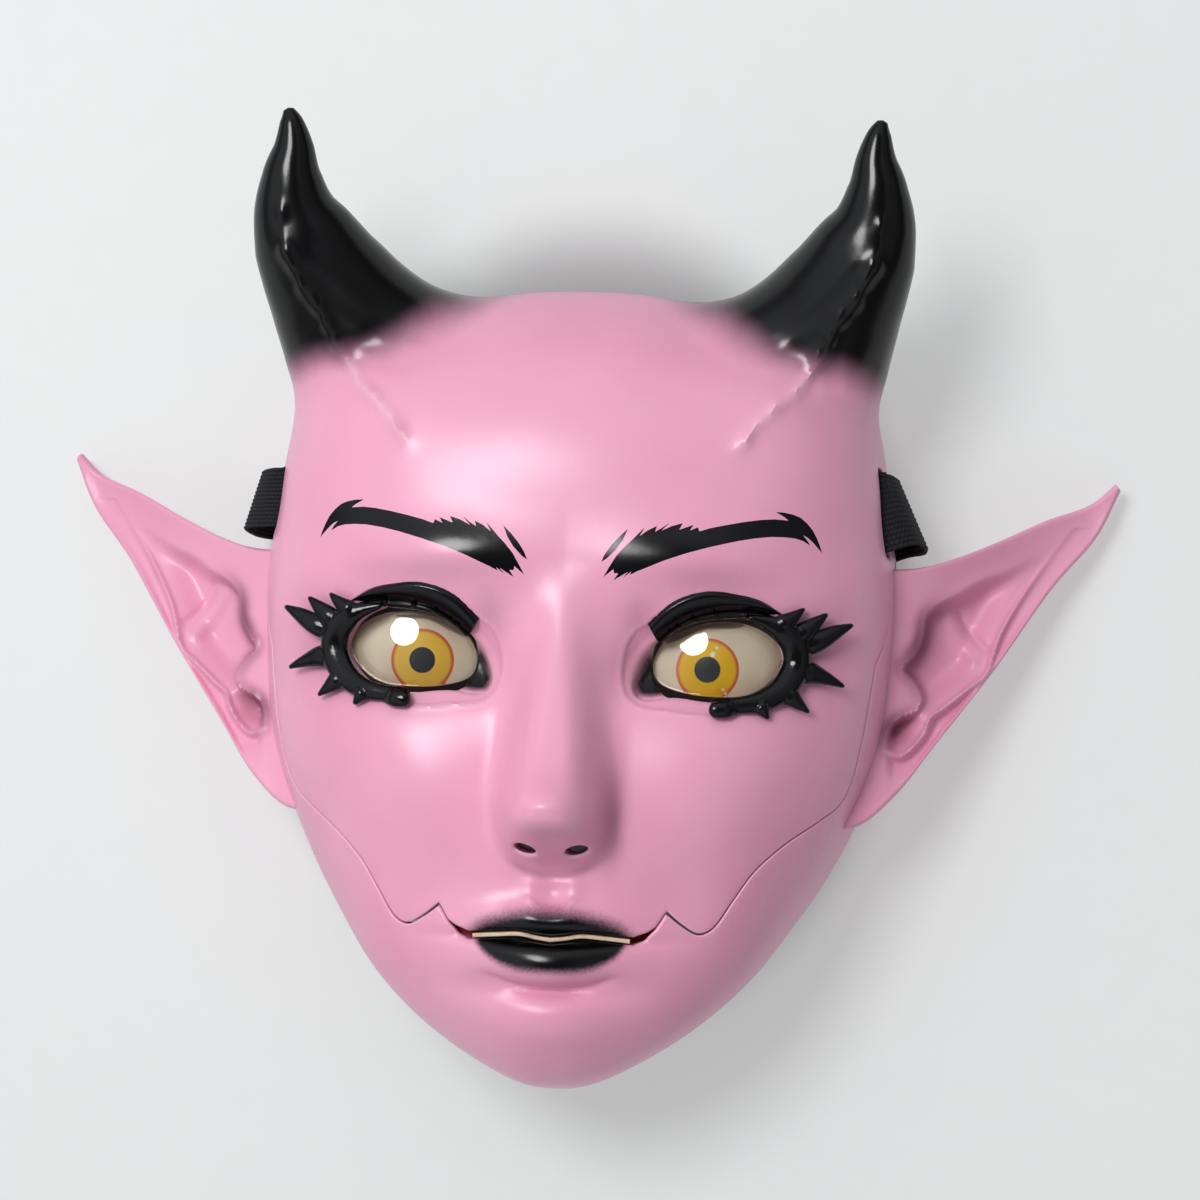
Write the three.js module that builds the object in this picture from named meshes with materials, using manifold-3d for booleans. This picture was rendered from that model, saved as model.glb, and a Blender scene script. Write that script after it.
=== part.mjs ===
import * as THREE from 'three';
import { mergeVertices } from 'three/addons/utils/BufferGeometryUtils.js';
import Module from 'manifold-3d';

const wasm = await Module();
wasm.setup();

// Lengths are millimetres. X is across the face, Y runs up from the chin to the horns and
// Z comes out of the face. The mask lies on its back with its rim on z = 0. All forms are worked
// out from the middle of the face, and at the end the middle of the whole length is put at y = 0.

// Main sizes
const FRONT = 90;             // height of the plain front above the rim
const CENTRE_Y = -30;         // middle of the face, from which the shell falls away
const MIDDLE_Y = -2.59;       // middle between the chin and the tips of the horns
const WALL = 3;
const GAP = 0.3;              // clearance between pieces that only touch
const STRAP_WIDTH = 24;
const STRAP_THICK = 1.5;
const SLOT = { y: 28.5, z: 45.9, length: 26, height: 6.4 };
const HINGE = { y: -8, z: 23, sweep: 24.2 };   // jaw pivot and radius of the round strip end

// Outline of the rim, right half, from the top of the forehead to the chin
const RIM = [
  [0, 94], [18, 93.2], [36, 90], [58, 83], [76, 73], [86, 59.5], [90, 43], [92, 26], [94.4, 9], [93.8, -16],
  [91.6, -38], [86, -58], [76.5, -78], [66.4, -94], [54.5, -110], [39.3, -124], [22.5, -135], [9.5, -141],
  [0, -142.2],
];
const CHIN_RISE = 52;         // height of the rim at the chin, where it lifts off the table
const SKIRT = 8;              // spare wall below the rim, trimmed off level

// Front edges of the jaw seam and lip line, right half, from the middle outwards
const LIP_LINE = [[0, -98.6], [4, -98.1], [9, -97.2], [16, -97.6], [23.2, -98.2]];
const LIP_GAP = 0.85;         // half of the opening between the lips
const FACE_EDGE = [[27.3, -95.6], [29.5, -94.6], [32.2, -89.6], [36.5, -93.1], [41.4, -95.6], [45, -94]];
const JAW_EDGE = [[27.3, -97.3], [29.6, -95.4], [32.2, -91.3], [36.5, -94.1], [41.4, -96.6], [45.3, -94.8]];
const CHEEK_SEAM = [
  [51, -85.2], [56.2, -77.6], [64.2, -69.8], [74, -62.4], [79, -58], [82.2, -52], [85, -40], [87, -27], [88.3, -17],
];

// Right eye, seen from the front
const EYE = { x: 43, y: -18, z: 80, radius: 45 };
const EYE_OPENING = [
  [24.7, -20.5], [26.7, -25], [33.7, -27.9], [43.2, -28.9], [52.7, -27.8], [58.8, -23.8],
  [62.4, -17.7], [59.4, -11.2], [51.9, -7.3], [41.9, -6.8], [34.2, -9.2], [27.6, -13.3],
];
const LID_OUTER = [[61.8, -4.2], [58, -2.9], [52, -1.2], [42.1, 0.6], [34.9, -0.4], [29, -3.6], [23, -9.8]];
const LID_INNER = [[61.4, -5], [58, -4.9], [52, -5], [44, -5.4], [36.6, -7.2], [31.6, -10.2], [26.7, -14]];
const LASH = [
  [33.6, -9.9], [38, -7.5], [44, -6.1], [52, -5.7], [58, -5.6], [62.6, -5.2], [66.5, -2.9], [65.4, -6.7],
  [69, -6], [72.8, -4.2], [72.2, -8.2], [77, -8.2], [81.5, -7], [78.5, -10.4], [74, -13], [69.2, -15],
  [68.8, -17.4], [74, -20.8], [79.3, -24.3], [72.5, -24.9], [65.6, -25.6], [67.8, -28.8], [69, -31.6],
  [64.2, -31.1], [58.8, -30.6], [58.4, -34.1], [54.4, -33], [50.4, -32.8], [46.3, -34.7], [43.2, -33.4],
  [41.8, -29.6], [43.2, -28.5], [52.7, -27.4], [58.5, -23.5], [61.9, -17.7], [58.8, -11.9], [51.9, -8.1],
  [42, -7.8], [34.6, -10.9],
];

// Right ear: the upper edge from the root to the tip, and the lower edge the same way
const EAR_TOP = [
  [80, 13.6, 46], [92, 12.6, 41.5], [100.5, 13.6, 37.5], [110.5, 17, 32], [122.8, 22.7, 25], [138.3, 30.8, 17.5],
  [151.6, 36.6, 11.5], [159, 43.2, 8.5],
];
const EAR_LOW = [
  [70, -65, 52], [84, -63.6, 47], [95, -54.3, 43], [107, -38, 35.5], [123.4, -15.6, 26], [140.5, 10.3, 17.5],
  [153.7, 26.8, 11.5], [160.6, 41, 8.5],
];

// Right horn: middle line and the radii across and through it
const HORN = [
  { at: [56, 58, 36], across: 27, through: 26 },
  { at: [65.5, 73.5, 49], across: 24.5, through: 23.5 },
  { at: [69.4, 80.4, 55], across: 22.4, through: 21 },
  { at: [73.4, 87.2, 61], across: 20.2, through: 18.8 },
  { at: [77.8, 94.6, 67], across: 17.6, through: 16.4 },
  { at: [81.4, 102, 72], across: 15.3, through: 14.2 },
  { at: [83.9, 109.5, 76], across: 12, through: 11.4 },
  { at: [84.4, 118.4, 80], across: 8.6, through: 8.3 },
  { at: [83.8, 126.2, 82.5], across: 5.8, through: 5.6 },
  { at: [84.5, 133.2, 84.6], across: 3.3, through: 3.2 },
  { at: [85.4, 136.6, 85.6], across: 1.2, through: 1.2 },
];

// Small maths helpers
const clamp = (t) => Math.min(1, Math.max(0, t));
const ease = (t) => clamp(t) ** 2 * (3 - 2 * clamp(t));
const mix = (a, b, t) => a + (b - a) * t;
const bump = (x, y, cx, cy, rx, ry) => Math.exp(-(((x - cx) / rx) ** 2) - ((y - cy) / ry) ** 2);
const curve = (points, closed = false) =>
  new THREE.CatmullRomCurve3(points.map(([x, y, z = 0]) => new THREE.Vector3(x, y, z)), closed, 'centripetal');
const rimCurve = curve([...RIM, ...RIM.slice(1, -1).reverse().map(([x, y]) => [-x, y])], true);

// Solid from points and triangles, turned so that it faces outwards
function solid(points, faces) {
  const make = (list) => new wasm.Manifold(new wasm.Mesh({
    numProp: 3,
    vertProperties: new Float32Array(points.flat()),
    triVerts: new Uint32Array(list.flat()),
  }));
  const shape = make(faces);
  return shape.volume() < 0 ? make(faces.map(([a, b, c]) => [a, c, b])) : shape;
}

// Solid through a row of closed rings with the same number of points, its ends closed by fans
function loft(rings) {
  const n = rings[0].length;
  const points = rings.flat();
  const faces = [];
  for (let i = 0; i + 1 < rings.length; i++) {
    for (let k = 0; k < n; k++) {
      const a = i * n + k;
      const b = i * n + ((k + 1) % n);
      faces.push([a, b, b + n], [a, b + n, a + n]);
    }
  }
  for (const [ring, flip] of [[0, true], [rings.length - 1, false]]) {
    const middle = [0, 1, 2].map((axis) => rings[ring].reduce((sum, p) => sum + p[axis], 0) / n);
    points.push(middle);
    for (let k = 0; k < n; k++) {
      const a = ring * n + k;
      const b = ring * n + ((k + 1) % n);
      faces.push(flip ? [b, a, points.length - 1] : [a, b, points.length - 1]);
    }
  }
  return solid(points, faces);
}

// Straight bar over a flat outline, its upper and lower ends at heights that follow the place
function drape(outline, low, high) {
  const flat = outline.map(([x, y]) => new THREE.Vector2(x, y));
  const inner = THREE.ShapeUtils.triangulateShape(flat, []);
  const n = outline.length;
  const points = [...outline.map(([x, y]) => [x, y, low(x, y)]), ...outline.map(([x, y]) => [x, y, high(x, y)])];
  const turn = THREE.ShapeUtils.isClockWise(flat) ? -1 : 1;
  const faces = [];
  for (const [a, b, c] of inner) {
    const up = THREE.ShapeUtils.isClockWise([flat[a], flat[b], flat[c]]) ? [a, c, b] : [a, b, c];
    faces.push(up.map((k) => k + n), [up[0], up[2], up[1]]);
  }
  for (let k = 0; k < n; k++) {
    const next = (k + n + turn) % n;
    faces.push([k, next, next + n], [k, next + n, k + n]);
  }
  return solid(points, faces);
}

// Solid from a box or cylinder geometry
function solidOf(geometry) {
  geometry.deleteAttribute('normal');
  geometry.deleteAttribute('uv');
  const merged = mergeVertices(geometry);
  return new wasm.Manifold(new wasm.Mesh({
    numProp: 3,
    vertProperties: new Float32Array(merged.attributes.position.array),
    triVerts: new Uint32Array(merged.index.array),
  }));
}
function box(x0, x1, y0, y1, z0, z1) {
  const block = new THREE.BoxGeometry(x1 - x0, y1 - y0, z1 - z0);
  return solidOf(block.translate((x0 + x1) / 2, (y0 + y1) / 2, (z0 + z1) / 2));
}

// A solid on the other side of the face, and a solid on both sides
function mirrored(shape) {
  const mesh = shape.getMesh();
  const points = [];
  const faces = [];
  for (let i = 0; i < mesh.vertProperties.length; i += 3) {
    points.push([-mesh.vertProperties[i], mesh.vertProperties[i + 1], mesh.vertProperties[i + 2]]);
  }
  for (let i = 0; i < mesh.triVerts.length; i += 3) faces.push([...mesh.triVerts.slice(i, i + 3)]);
  return solid(points, faces);
}
const both = (shape) => shape.add(mirrored(shape));

// Raised and sunk forms of the face, added to its plain front; the inside has only the large ones
function front(x, y, inside) {
  const s = Math.abs(x);
  const under = ((inside ? -61 : -65) - y + 4.5 * (s / 16) ** 3) / 16;
  const bridge = 25 * clamp((8 - y) / 70) ** 1.4 * (1 - ease(under));
  const low = clamp((-y - 15) / 45);
  let z = FRONT + bridge * Math.exp(-((s / (8.5 + 5.3 * low)) ** (2 + 2 * low)));
  z += 4 * bump(s, y, 0, 48, 58, 34) + 3 * bump(s, y, 34, 9, 25, 10) + 5 * bump(s, y, 62, 64, 20, 18);
  z -= 7 * bump(s, y, 42, -18, 24, 13) + 4 * bump(s, y, 22, -22, 7, 8);
  z += 5 * bump(s, y, 50, -52, 24, 22) - 2 * bump(s, y, 34, -86, 12, 12);
  if (inside) return z - 2.6 * bump(s, y, 0, -98, 34, 22);
  z += 3 * bump(s, y, 0, -61, 9, 8) + 2 * bump(s, y, 12, -69, 4, 6);
  z += 1.2 * bump(s, y, 6, -86, 2.6, 6) - 1.2 * bump(s, y, 0, -86, 3.2, 7);
  z += 4.5 * bump(s, y, 0, -93.5, 18, 5) + 5.5 * bump(s, y, 0, -104, 18, 5);
  z -= 3 * bump(s, y, 0, -98.3, 25, 1.8) + 2.5 * bump(s, y, 0, -112.5, 22, 4);
  z += 4 * bump(s, y, 0, -124, 17, 10);
  return z;
}

// Height of the rim, which lies on the table up to the jaw and rises towards the chin
const rimZ = (y) => CHIN_RISE * ease((-58 - y) / 78);

// Point of the outer skin: t runs round the rim, q from the middle of the face (0) to the rim (1)
function skin(t, q, inside = false) {
  const edge = rimCurve.getPoint(((t % 1) + 1) % 1);
  const reach = Math.hypot(edge.x, edge.y - CENTRE_Y);
  const up = (edge.y - CENTRE_Y) / reach;
  const fall = 2.6 + 0.9 * clamp(up) ** 2 + 3.4 * clamp(-up) ** 3;
  const square = 4 - 1.4 * clamp(-up) ** 2;
  const x = edge.x * q;
  const y = mix(CENTRE_Y, edge.y, q);
  const z = mix(rimZ(edge.y), front(x, y, inside), Math.max(0, 1 - q ** fall) ** (1 / square));
  return new THREE.Vector3(x, y, z);
}

// Place along the rim reached by the line from the middle of the face through a point
function rimPlace(x, y) {
  const wanted = Math.atan2(Math.abs(x), y - CENTRE_Y);
  let low = 0;
  let high = 0.5;
  for (let i = 0; i < 24; i++) {
    const t = (low + high) / 2;
    const edge = rimCurve.getPoint(t);
    if (Math.atan2(edge.x, edge.y - CENTRE_Y) < wanted) low = t;
    else high = t;
  }
  return (low + high) / 2;
}

// Height of the outer skin over a place, and distance from the middle at a height
function skinZ(x, y, inside = false) {
  const t = rimPlace(x, y);
  const edge = rimCurve.getPoint(t);
  return skin(t, clamp(Math.hypot(x, y - CENTRE_Y) / Math.hypot(edge.x, edge.y - CENTRE_Y)), inside).z;
}
function skinX(y, z) {
  let low = 40;
  let high = 100;
  for (let i = 0; i < 24; i++) {
    const x = (low + high) / 2;
    if (skinZ(x, y) > z) low = x;
    else high = x;
  }
  return low;
}

// Closed dome, its skin moved outwards by an offset and carried straight down below the rim
function dome(offset, around, steps, skirt = SKIRT) {
  const rings = [];
  for (let j = 1; j <= steps; j++) {
    const q = 1 - (1 - j / steps) ** 1.4;
    const ring = [];
    for (let k = 0; k < around; k++) {
      const t = k / around;
      const inside = offset <= -WALL;
      const p = skin(t, q, inside);
      const side = skin(t + 0.002, q, inside).sub(skin(t - 0.002, q, inside));
      const inward = skin(t, Math.max(q - 0.004, 0.0005), inside).sub(skin(t, Math.min(q + 0.004, 1), inside));
      const normal = side.cross(inward).normalize();
      if (normal.z < 0) normal.negate();
      p.addScaledVector(normal, offset);
      ring.push([p.x, p.y, j === steps ? rimZ(skin(t, 1).y) : p.z]);
    }
    rings.push(ring);
  }
  rings.push(rings.at(-1).map(([x, y, z]) => [x, y, z - skirt]));
  return loft(rings);
}

// Everything below the level of the rim
function belowRim() {
  const rings = [];
  for (let y = 200; y >= -200; y -= y < -50 && y > -145 ? 5 : 25) {
    rings.push([[-200, y, -60], [200, y, -60], [200, y, rimZ(y)], [-200, y, rimZ(y)]]);
  }
  return loft(rings);
}

// Tapered horn, made thinner by an inset for the hollow inside it
function horn(inset) {
  const path = curve(HORN.map((step) => step.at));
  const rings = [];
  const around = 12;
  HORN.forEach((step, i) => {
    const along = path.getTangent(i / (HORN.length - 1));
    const across = new THREE.Vector3(0, 0, 1).cross(along).normalize();
    const through = along.clone().cross(across);
    const a = step.across - inset;
    const b = step.through - inset;
    if (a < 1.2) return;
    const ring = [];
    for (let k = 0; k < around; k++) {
      const angle = (2 * Math.PI * k) / around;
      const p = new THREE.Vector3(...step.at)
        .addScaledVector(across, a * Math.cos(angle))
        .addScaledVector(through, b * Math.sin(angle));
      ring.push(p.toArray());
    }
    rings.push(ring);
  });
  return loft(rings);
}

// Everything below the jaw seam, bounded by lines square to the skin
function belowSeam(side, edge) {
  const lips = curve(LIP_LINE).getPoints(8).map((p) => [p.x, p.y + side * LIP_GAP]);
  const seam = lips.concat(edge, CHEEK_SEAM).map(([x, y]) => [x, y, skinZ(x, y)]);
  for (let angle = 90; angle >= -80; angle -= 10) {
    const y = HINGE.y + HINGE.sweep * Math.cos((angle * Math.PI) / 180);
    const z = HINGE.z + HINGE.sweep * Math.sin((angle * Math.PI) / 180);
    seam.push([skinX(y, Math.max(z, 1)), y, z]);
  }
  // Unrolled round a line below the face, 90 mm to the radian, then moved sideways by the gap
  const flat = seam.map(([x, y, z]) => new THREE.Vector2(90 * Math.atan2(x, z + 20), y));
  const chart = flat.map((p, i) => {
    if (i < lips.length) return [p.x / 90, p.y];
    const along = flat[Math.min(i + 1, flat.length - 1)].clone().sub(flat[i - 1]).normalize();
    return [(p.x - along.y * side * 0.25) / 90, p.y + along.x * side * 0.25];
  });
  chart.push([1.75, chart.at(-1)[1] - 2]);
  const all = [...chart.slice(1).reverse().map(([a, y]) => [-a, y]), ...chart];
  const reach = [3, 60, 75, 85, 95, 105, 115, 130, 260];
  const rings = all.map(([a, y]) => [...reach.map((r) => [r, y]), ...reach.map((r) => [r, -260]).reverse()]
    .map(([r, height]) => [r * Math.sin(a), height, r * Math.cos(a) - 20]));
  return loft(rings);
}

// Shell of face and jaw together, with horns, before it is parted
const outer = dome(0, 72, 26).add(both(horn(0))).simplify(0.3);
const inner = dome(-WALL, 36, 10, 3 * SKIRT).add(both(horn(WALL))).simplify(0.8);
let shell = outer.subtract(inner);

// Openings for the eyes, the nostrils and the strap, and the arch that lets the strap out
const eyeHole = drape(curve(EYE_OPENING, true).getPoints(20).slice(0, -1).map((p) => [p.x, p.y]), () => 50, () => 130);
const nostril = solidOf(new THREE.CylinderGeometry(3.1, 3.1, 30, 16).rotateX(Math.PI / 2).scale(1, 0.5, 1)
  .rotateX(THREE.MathUtils.degToRad(52)).rotateZ(THREE.MathUtils.degToRad(14)).translate(7.4, -66, 104));
const sideCut = (length, z0, z1) => box(70, 110, SLOT.y - length / 2, SLOT.y + length / 2, z0, z1);
const slot = sideCut(SLOT.length, SLOT.z - SLOT.height / 2, SLOT.z + SLOT.height / 2);
const arch = sideCut(SLOT.length + 0.4, -SKIRT - 1, 5);
shell = shell.subtract(both(eyeHole.add(nostril).add(slot).add(arch)));

// Flat plates inside the face that reach down behind the jaw to its pivots
const disc = (x, thick, radius) => solidOf(new THREE.CylinderGeometry(radius, radius, thick, 20)
  .rotateZ(Math.PI / 2).translate(x + thick / 2, HINGE.y, HINGE.z));
const tab = box(82, 84.4, HINGE.y - 9, HINGE.y + 9, HINGE.z, 68)
  .add(disc(82, 2.4, 9))
  .subtract(disc(80, 8, 3.3));
const faceRegion = belowSeam(1, FACE_EDGE);
const jawRegion = belowSeam(-1, JAW_EDGE);
const insideTab = tab.intersect(dome(-1, 40, 10));
const face = shell.subtract(faceRegion).simplify(0.3).subtract(belowRim()).add(both(insideTab));

// Jaw with its two round pivots
const pivot = disc(79.5, 14, 3).add(disc(84.8, 8, 6)).intersect(dome(-1, 40, 10));
const jaw = shell.intersect(jawRegion).simplify(0.3).subtract(belowRim()).add(both(pivot));

// Cap pressed on the end of each pivot
const cap = disc(78.2, 3.4, 5.4).subtract(disc(79.4, 3, 3.02));

// Space kept by the skin, which glued-on pieces stay clear of
const guard = dome(GAP, 84, 22).subtract(both(eyeHole)).simplify(0.05);

// Clear dome and printed eye behind it
const bowl = (x, y, drop) => EYE.z - drop - ((x - EYE.x) ** 2 + (y - EYE.y) ** 2) / (2 * EYE.radius);
function eyePlate(shrink, top, bottom) {
  const outline = curve(EYE_OPENING, true).getPoints(20).slice(0, -1);
  const levels = [1, 0.55];
  const rings = [];
  const ringAt = (level, drop) => outline.map((p) => {
    const reach = Math.hypot(p.x - EYE.x, p.y - EYE.y);
    const keep = (level * (reach - shrink)) / reach;
    const x = EYE.x + (p.x - EYE.x) * keep;
    const y = EYE.y + (p.y - EYE.y) * keep;
    return [x, y, bowl(x, y, drop)];
  });
  for (const level of [...levels].reverse()) rings.push(ringAt(level, bottom));
  for (const level of levels) rings.push(ringAt(level, top));
  return loft(rings);
}
const lens = eyePlate(0.4, 0, 1.2);
const eye = eyePlate(0.5, 1.8, 4.6);

// Lid: a hood from the brow side of the opening to its free edge in front of the lens
function lid() {
  const out = curve(LID_OUTER).getPoints(11);
  const free = curve(LID_INNER).getPoints(11);
  const rings = out.map((o, i) => {
    const e = free[i];
    const base = skinZ(o.x, o.y) + GAP;
    const edge = Math.max(bowl(e.x, e.y, 0), skinZ(e.x, e.y)) + 0.8;
    const ring = [];
    for (const v of [0, 0.33, 0.67, 1]) {
      const lift = 0.6 + 2.6 * Math.sin(Math.PI * (0.15 + 0.75 * v));
      ring.push([mix(o.x, e.x, v), mix(o.y, e.y, v), mix(base, edge, v) + lift]);
    }
    ring.push([e.x, e.y, edge - 0.4], [mix(o.x, e.x, 0.5), mix(o.y, e.y, 0.5), mix(base, edge, 0.5) - 1], [o.x, o.y, base - 1]);
    return ring;
  });
  return loft(rings).subtract(guard).simplify(0.08);
}

// Lash: a spiked strip that stands away from the skin towards its points
function lash() {
  const seat = (x, y) => (x < 62 ? Math.max(skinZ(x, y), bowl(x, y, 0)) : skinZ(62, y) - 0.35 * (x - 62));
  return drape(LASH, (x, y) => seat(x, y) + 0.5, (x, y) => seat(x, y) + 3.2).subtract(guard).simplify(0.05);
}

// Ear: thin relief with a rolled rim and a hollow, from the root to the tip
function ear() {
  const top = curve(EAR_TOP);
  const low = curve(EAR_LOW);
  const rings = [];
  const lengths = 12;
  const widths = 6;
  for (let i = 0; i <= lengths; i++) {
    const u = i / lengths;
    const a = top.getPoint(u);
    const b = low.getPoint(u);
    const upper = [];
    const lower = [];
    for (let k = 0; k <= widths; k++) {
      const v = k / widths;
      const x = mix(a.x, b.x, v);
      const y = mix(a.y, b.y, v);
      const base = mix(a.z, b.z, v);
      const hollow = 5 * Math.sin(Math.PI * clamp((v - 0.04) / 0.9)) ** 0.8 * (1 - ease((u - 0.7) / 0.3));
      const bowlDeep = 4 * bump(x, y, 108, -18, 8, 13);
      const edge = Math.min(v, 1 - v);
      const round = 1.6 * Math.sqrt(clamp(edge / 0.05));
      upper.push([x, y, base - hollow - bowlDeep - 1.6 + round]);
      if (k > 0 && k < widths) lower.push([x, y, base - hollow - bowlDeep - 1.6 - round]);
    }
    rings.push([...upper, ...lower.reverse()]);
  }
  return loft(rings).subtract(dome(GAP, 112, 26)).subtract(box(-10, 80, -100, 100, -10, 60)).simplify(0.1);
}

// Cream strip between the lips, with a plate behind the upper lip that carries it
function teeth() {
  const line = [...LIP_LINE.slice(1).reverse().map(([x, y]) => [-x, y]), ...LIP_LINE];
  const row = curve(line).getPoints(12).map((p) => [p.x * 0.955, p.y]);
  const back = (x, y) => skinZ(x, y, true) - WALL - 1.2;
  const strip = row.map(([x, y]) => [[-0.5, 0], [0.5, 0], [0.5, 1], [-0.5, 1]]
    .map(([dy, deep]) => [x, y + dy, deep ? back(x, y) - 1 : skinZ(x, y) - 1.2]));
  const plate = row.map(([x, y]) => [[-0.5, 0], [7, 0], [7, 1.3], [-0.5, 1.3]]
    .map(([dy, deep]) => [x, y + dy, back(x, y + dy) - deep]));
  return loft(strip).add(loft(plate)).simplify(0.05);
}

// Red plate behind both lips
function liner() {
  const rings = [];
  for (let i = 0; i <= 8; i++) {
    const x = mix(-31, 31, i / 8);
    const ring = [-107, -100, -94, -87].map((y) => [x, y, skinZ(x, -96, true) - WALL - 3.8]);
    rings.push([...ring, ...ring.map(([px, y, z]) => [px, y, z - 1.6]).reverse()]);
  }
  return loft(rings).simplify(0.1);
}

// Elastic band: through a slot, round the edge of the shell, across the hollow and back again
function strap() {
  const side = [
    [76, 4.4], [80, 9], [81.5, 28], [81.8, 40], [84.6, 45.3], [89.5, 46.8], [95, 46], [99.5, 42], [101.8, 34],
    [102.5, 22], [101.8, 9], [99, 3], [94, 2.2], [86, 2], [70, 2],
  ];
  const path = curve([...side, [35, 6], [0, 8], [-35, 6], ...side.slice().reverse().map(([x, z]) => [-x, z])]
    .map(([x, z]) => [x, 0, z])).getSpacedPoints(48);
  const rings = path.map((p, i) => {
    const before = path[Math.max(i - 1, 0)];
    const after = path[Math.min(i + 1, path.length - 1)];
    const along = new THREE.Vector3().subVectors(after, before).normalize();
    const nx = -along.z * (STRAP_THICK / 2);
    const nz = along.x * (STRAP_THICK / 2);
    const half = STRAP_WIDTH / 2;
    const pull = Math.sign(p.x) * 6.5 * ease((Math.abs(p.x) - 90) / 10);
    return [[p.x + nx, SLOT.y - half, p.z + nz], [p.x - nx, SLOT.y - half, p.z - nz],
      [p.x - nx - pull, SLOT.y + half, p.z - nz], [p.x + nx - pull, SLOT.y + half, p.z + nz]];
  });
  return loft(rings).simplify(0.06);
}

// Finished surfaces
const finish = (color, roughness) => new THREE.MeshStandardMaterial({ color, roughness, metalness: 0 });
const PINK = finish('#d9899f', 0.32);
const BLACK = finish('#0c0b0e', 0.22);
const CREAM = finish('#dccdb0', 0.4);
const CLEAR = finish('#eef2f2', 0.05);
const RED = finish('#7a0a1c', 0.4);
const KNIT = finish('#161618', 0.85);

const group = new THREE.Group();
group.position.y = -MIDDLE_Y;
function put(name, shape, material) {
  const mesh = shape.getMesh();
  const geometry = new THREE.BufferGeometry();
  geometry.setAttribute('position', new THREE.BufferAttribute(new Float32Array(mesh.vertProperties), 3));
  geometry.setIndex(new THREE.BufferAttribute(new Uint32Array(mesh.triVerts), 1));
  geometry.computeVertexNormals();
  const node = new THREE.Mesh(geometry, material.clone());
  node.name = name;
  group.add(node);
}
function putPair(name, right, material) {
  put(`${name}_right`, right, material);
  put(`${name}_left`, mirrored(right), material);
}

put('face_shell', face, PINK);
put('jaw_shell', jaw, PINK);
putPair('ear', ear(), PINK);
putPair('eyelid', lid(), BLACK);
putPair('lash', lash(), BLACK);
putPair('eye', eye, CREAM);
putPair('eye_lens', lens, CLEAR);
put('upper_teeth', teeth(), CREAM);
put('mouth_liner', liner(), RED);
putPair('hinge_cap', cap, BLACK);
put('head_strap', strap(), KNIT);

export default group;
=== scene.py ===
import math

import bmesh
import bpy
import numpy as np
from mathutils import Matrix, Vector, geometry
from mathutils.kdtree import KDTree


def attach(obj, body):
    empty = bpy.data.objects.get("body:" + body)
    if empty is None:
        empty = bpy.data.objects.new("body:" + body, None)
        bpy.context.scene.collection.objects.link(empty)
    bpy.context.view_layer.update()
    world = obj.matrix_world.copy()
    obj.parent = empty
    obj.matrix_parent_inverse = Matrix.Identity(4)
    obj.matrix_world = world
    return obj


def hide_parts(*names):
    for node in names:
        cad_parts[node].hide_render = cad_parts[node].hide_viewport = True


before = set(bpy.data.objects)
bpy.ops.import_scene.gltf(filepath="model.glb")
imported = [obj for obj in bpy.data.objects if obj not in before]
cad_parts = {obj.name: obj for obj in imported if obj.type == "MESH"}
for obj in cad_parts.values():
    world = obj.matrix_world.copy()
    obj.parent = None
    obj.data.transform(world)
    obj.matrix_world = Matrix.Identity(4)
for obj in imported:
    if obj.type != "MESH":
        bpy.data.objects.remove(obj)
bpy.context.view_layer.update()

# Lengths are millimetres in the face's own frame: X across, Y up the face, Z out of the face,
# and to_metres() puts the middle of the whole length at y = 0.

# Main sizes of the shell
FRONT = 90.0
CENTRE_Y = -30.0
MIDDLE_Y = -2.59
WALL = 3.0
CHIN_RISE = 52.0
HINGE_Y, HINGE_Z, HINGE_SWEEP = -8.0, 23.0, 24.2
SLOT_Y, SLOT_Z, SLOT_LENGTH, SLOT_HEIGHT = 28.5, 45.9, 26.0, 6.4
ARCH_HALF, ARCH_HEIGHT = 13.2, 5.0

# Outline of the rim, right half, from the top of the forehead to the chin
RIM = [
    (0, 94), (18, 93.2), (36, 90), (58, 83), (76, 73), (86, 59.5), (90, 43), (92, 26), (94.4, 9),
    (93.8, -16), (91.6, -38), (86, -58), (76.5, -78), (66.4, -94), (54.5, -110), (39.3, -124),
    (22.5, -135), (9.5, -141), (0, -142.2),
]

# Lip line and jaw seam on the right half, from the middle outwards
LIP_LINE = [(0, -98.6), (4, -98.1), (9, -97.2), (16, -97.6), (23.2, -98.2)]
LIP_GAP = 0.85
LIPS_MEET = -98.6
FACE_NOTCH = [(23.2, -97.35), (27.3, -95.6), (29.5, -94.0), (32.2, -89.6)]
JAW_NOTCH = [(23.2, -99.05), (26.6, -97.9), (29.4, -94.6), (32.2, -89.9)]
FACE_SEAM = [(32.2, -89.6), (36.5, -93.1), (41.4, -95.6), (45, -94)]
JAW_SEAM = [(32.2, -89.9), (36.5, -93.2), (41.4, -95.7), (45.0, -94.1)]
CHEEK_SEAM = [
    (51, -85.2), (56.2, -77.6), (64.2, -69.8), (74, -62.4), (79, -58), (82.2, -52), (85, -40),
    (87, -27), (88.3, -17),
]
SEAM_GAP = 0.25

# Right eye
EYE_X, EYE_Y, EYE_Z, EYE_RADIUS = 43.0, -18.0, 80.0, 45.0
IRIS_X, IRIS_Y, IRIS_RADIUS = 40.8, -20.8, 8.9
PUPIL_EDGE = (0.40, 0.425)
EYE_OPENING = [
    (24.7, -20.5), (26.7, -25), (33.7, -27.9), (43.2, -28.9), (52.7, -27.8), (58.8, -23.8),
    (62.4, -17.7), (59.4, -11.2), (51.9, -7.3), (41.9, -6.8), (34.2, -9.2), (27.6, -13.3),
]

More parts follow.
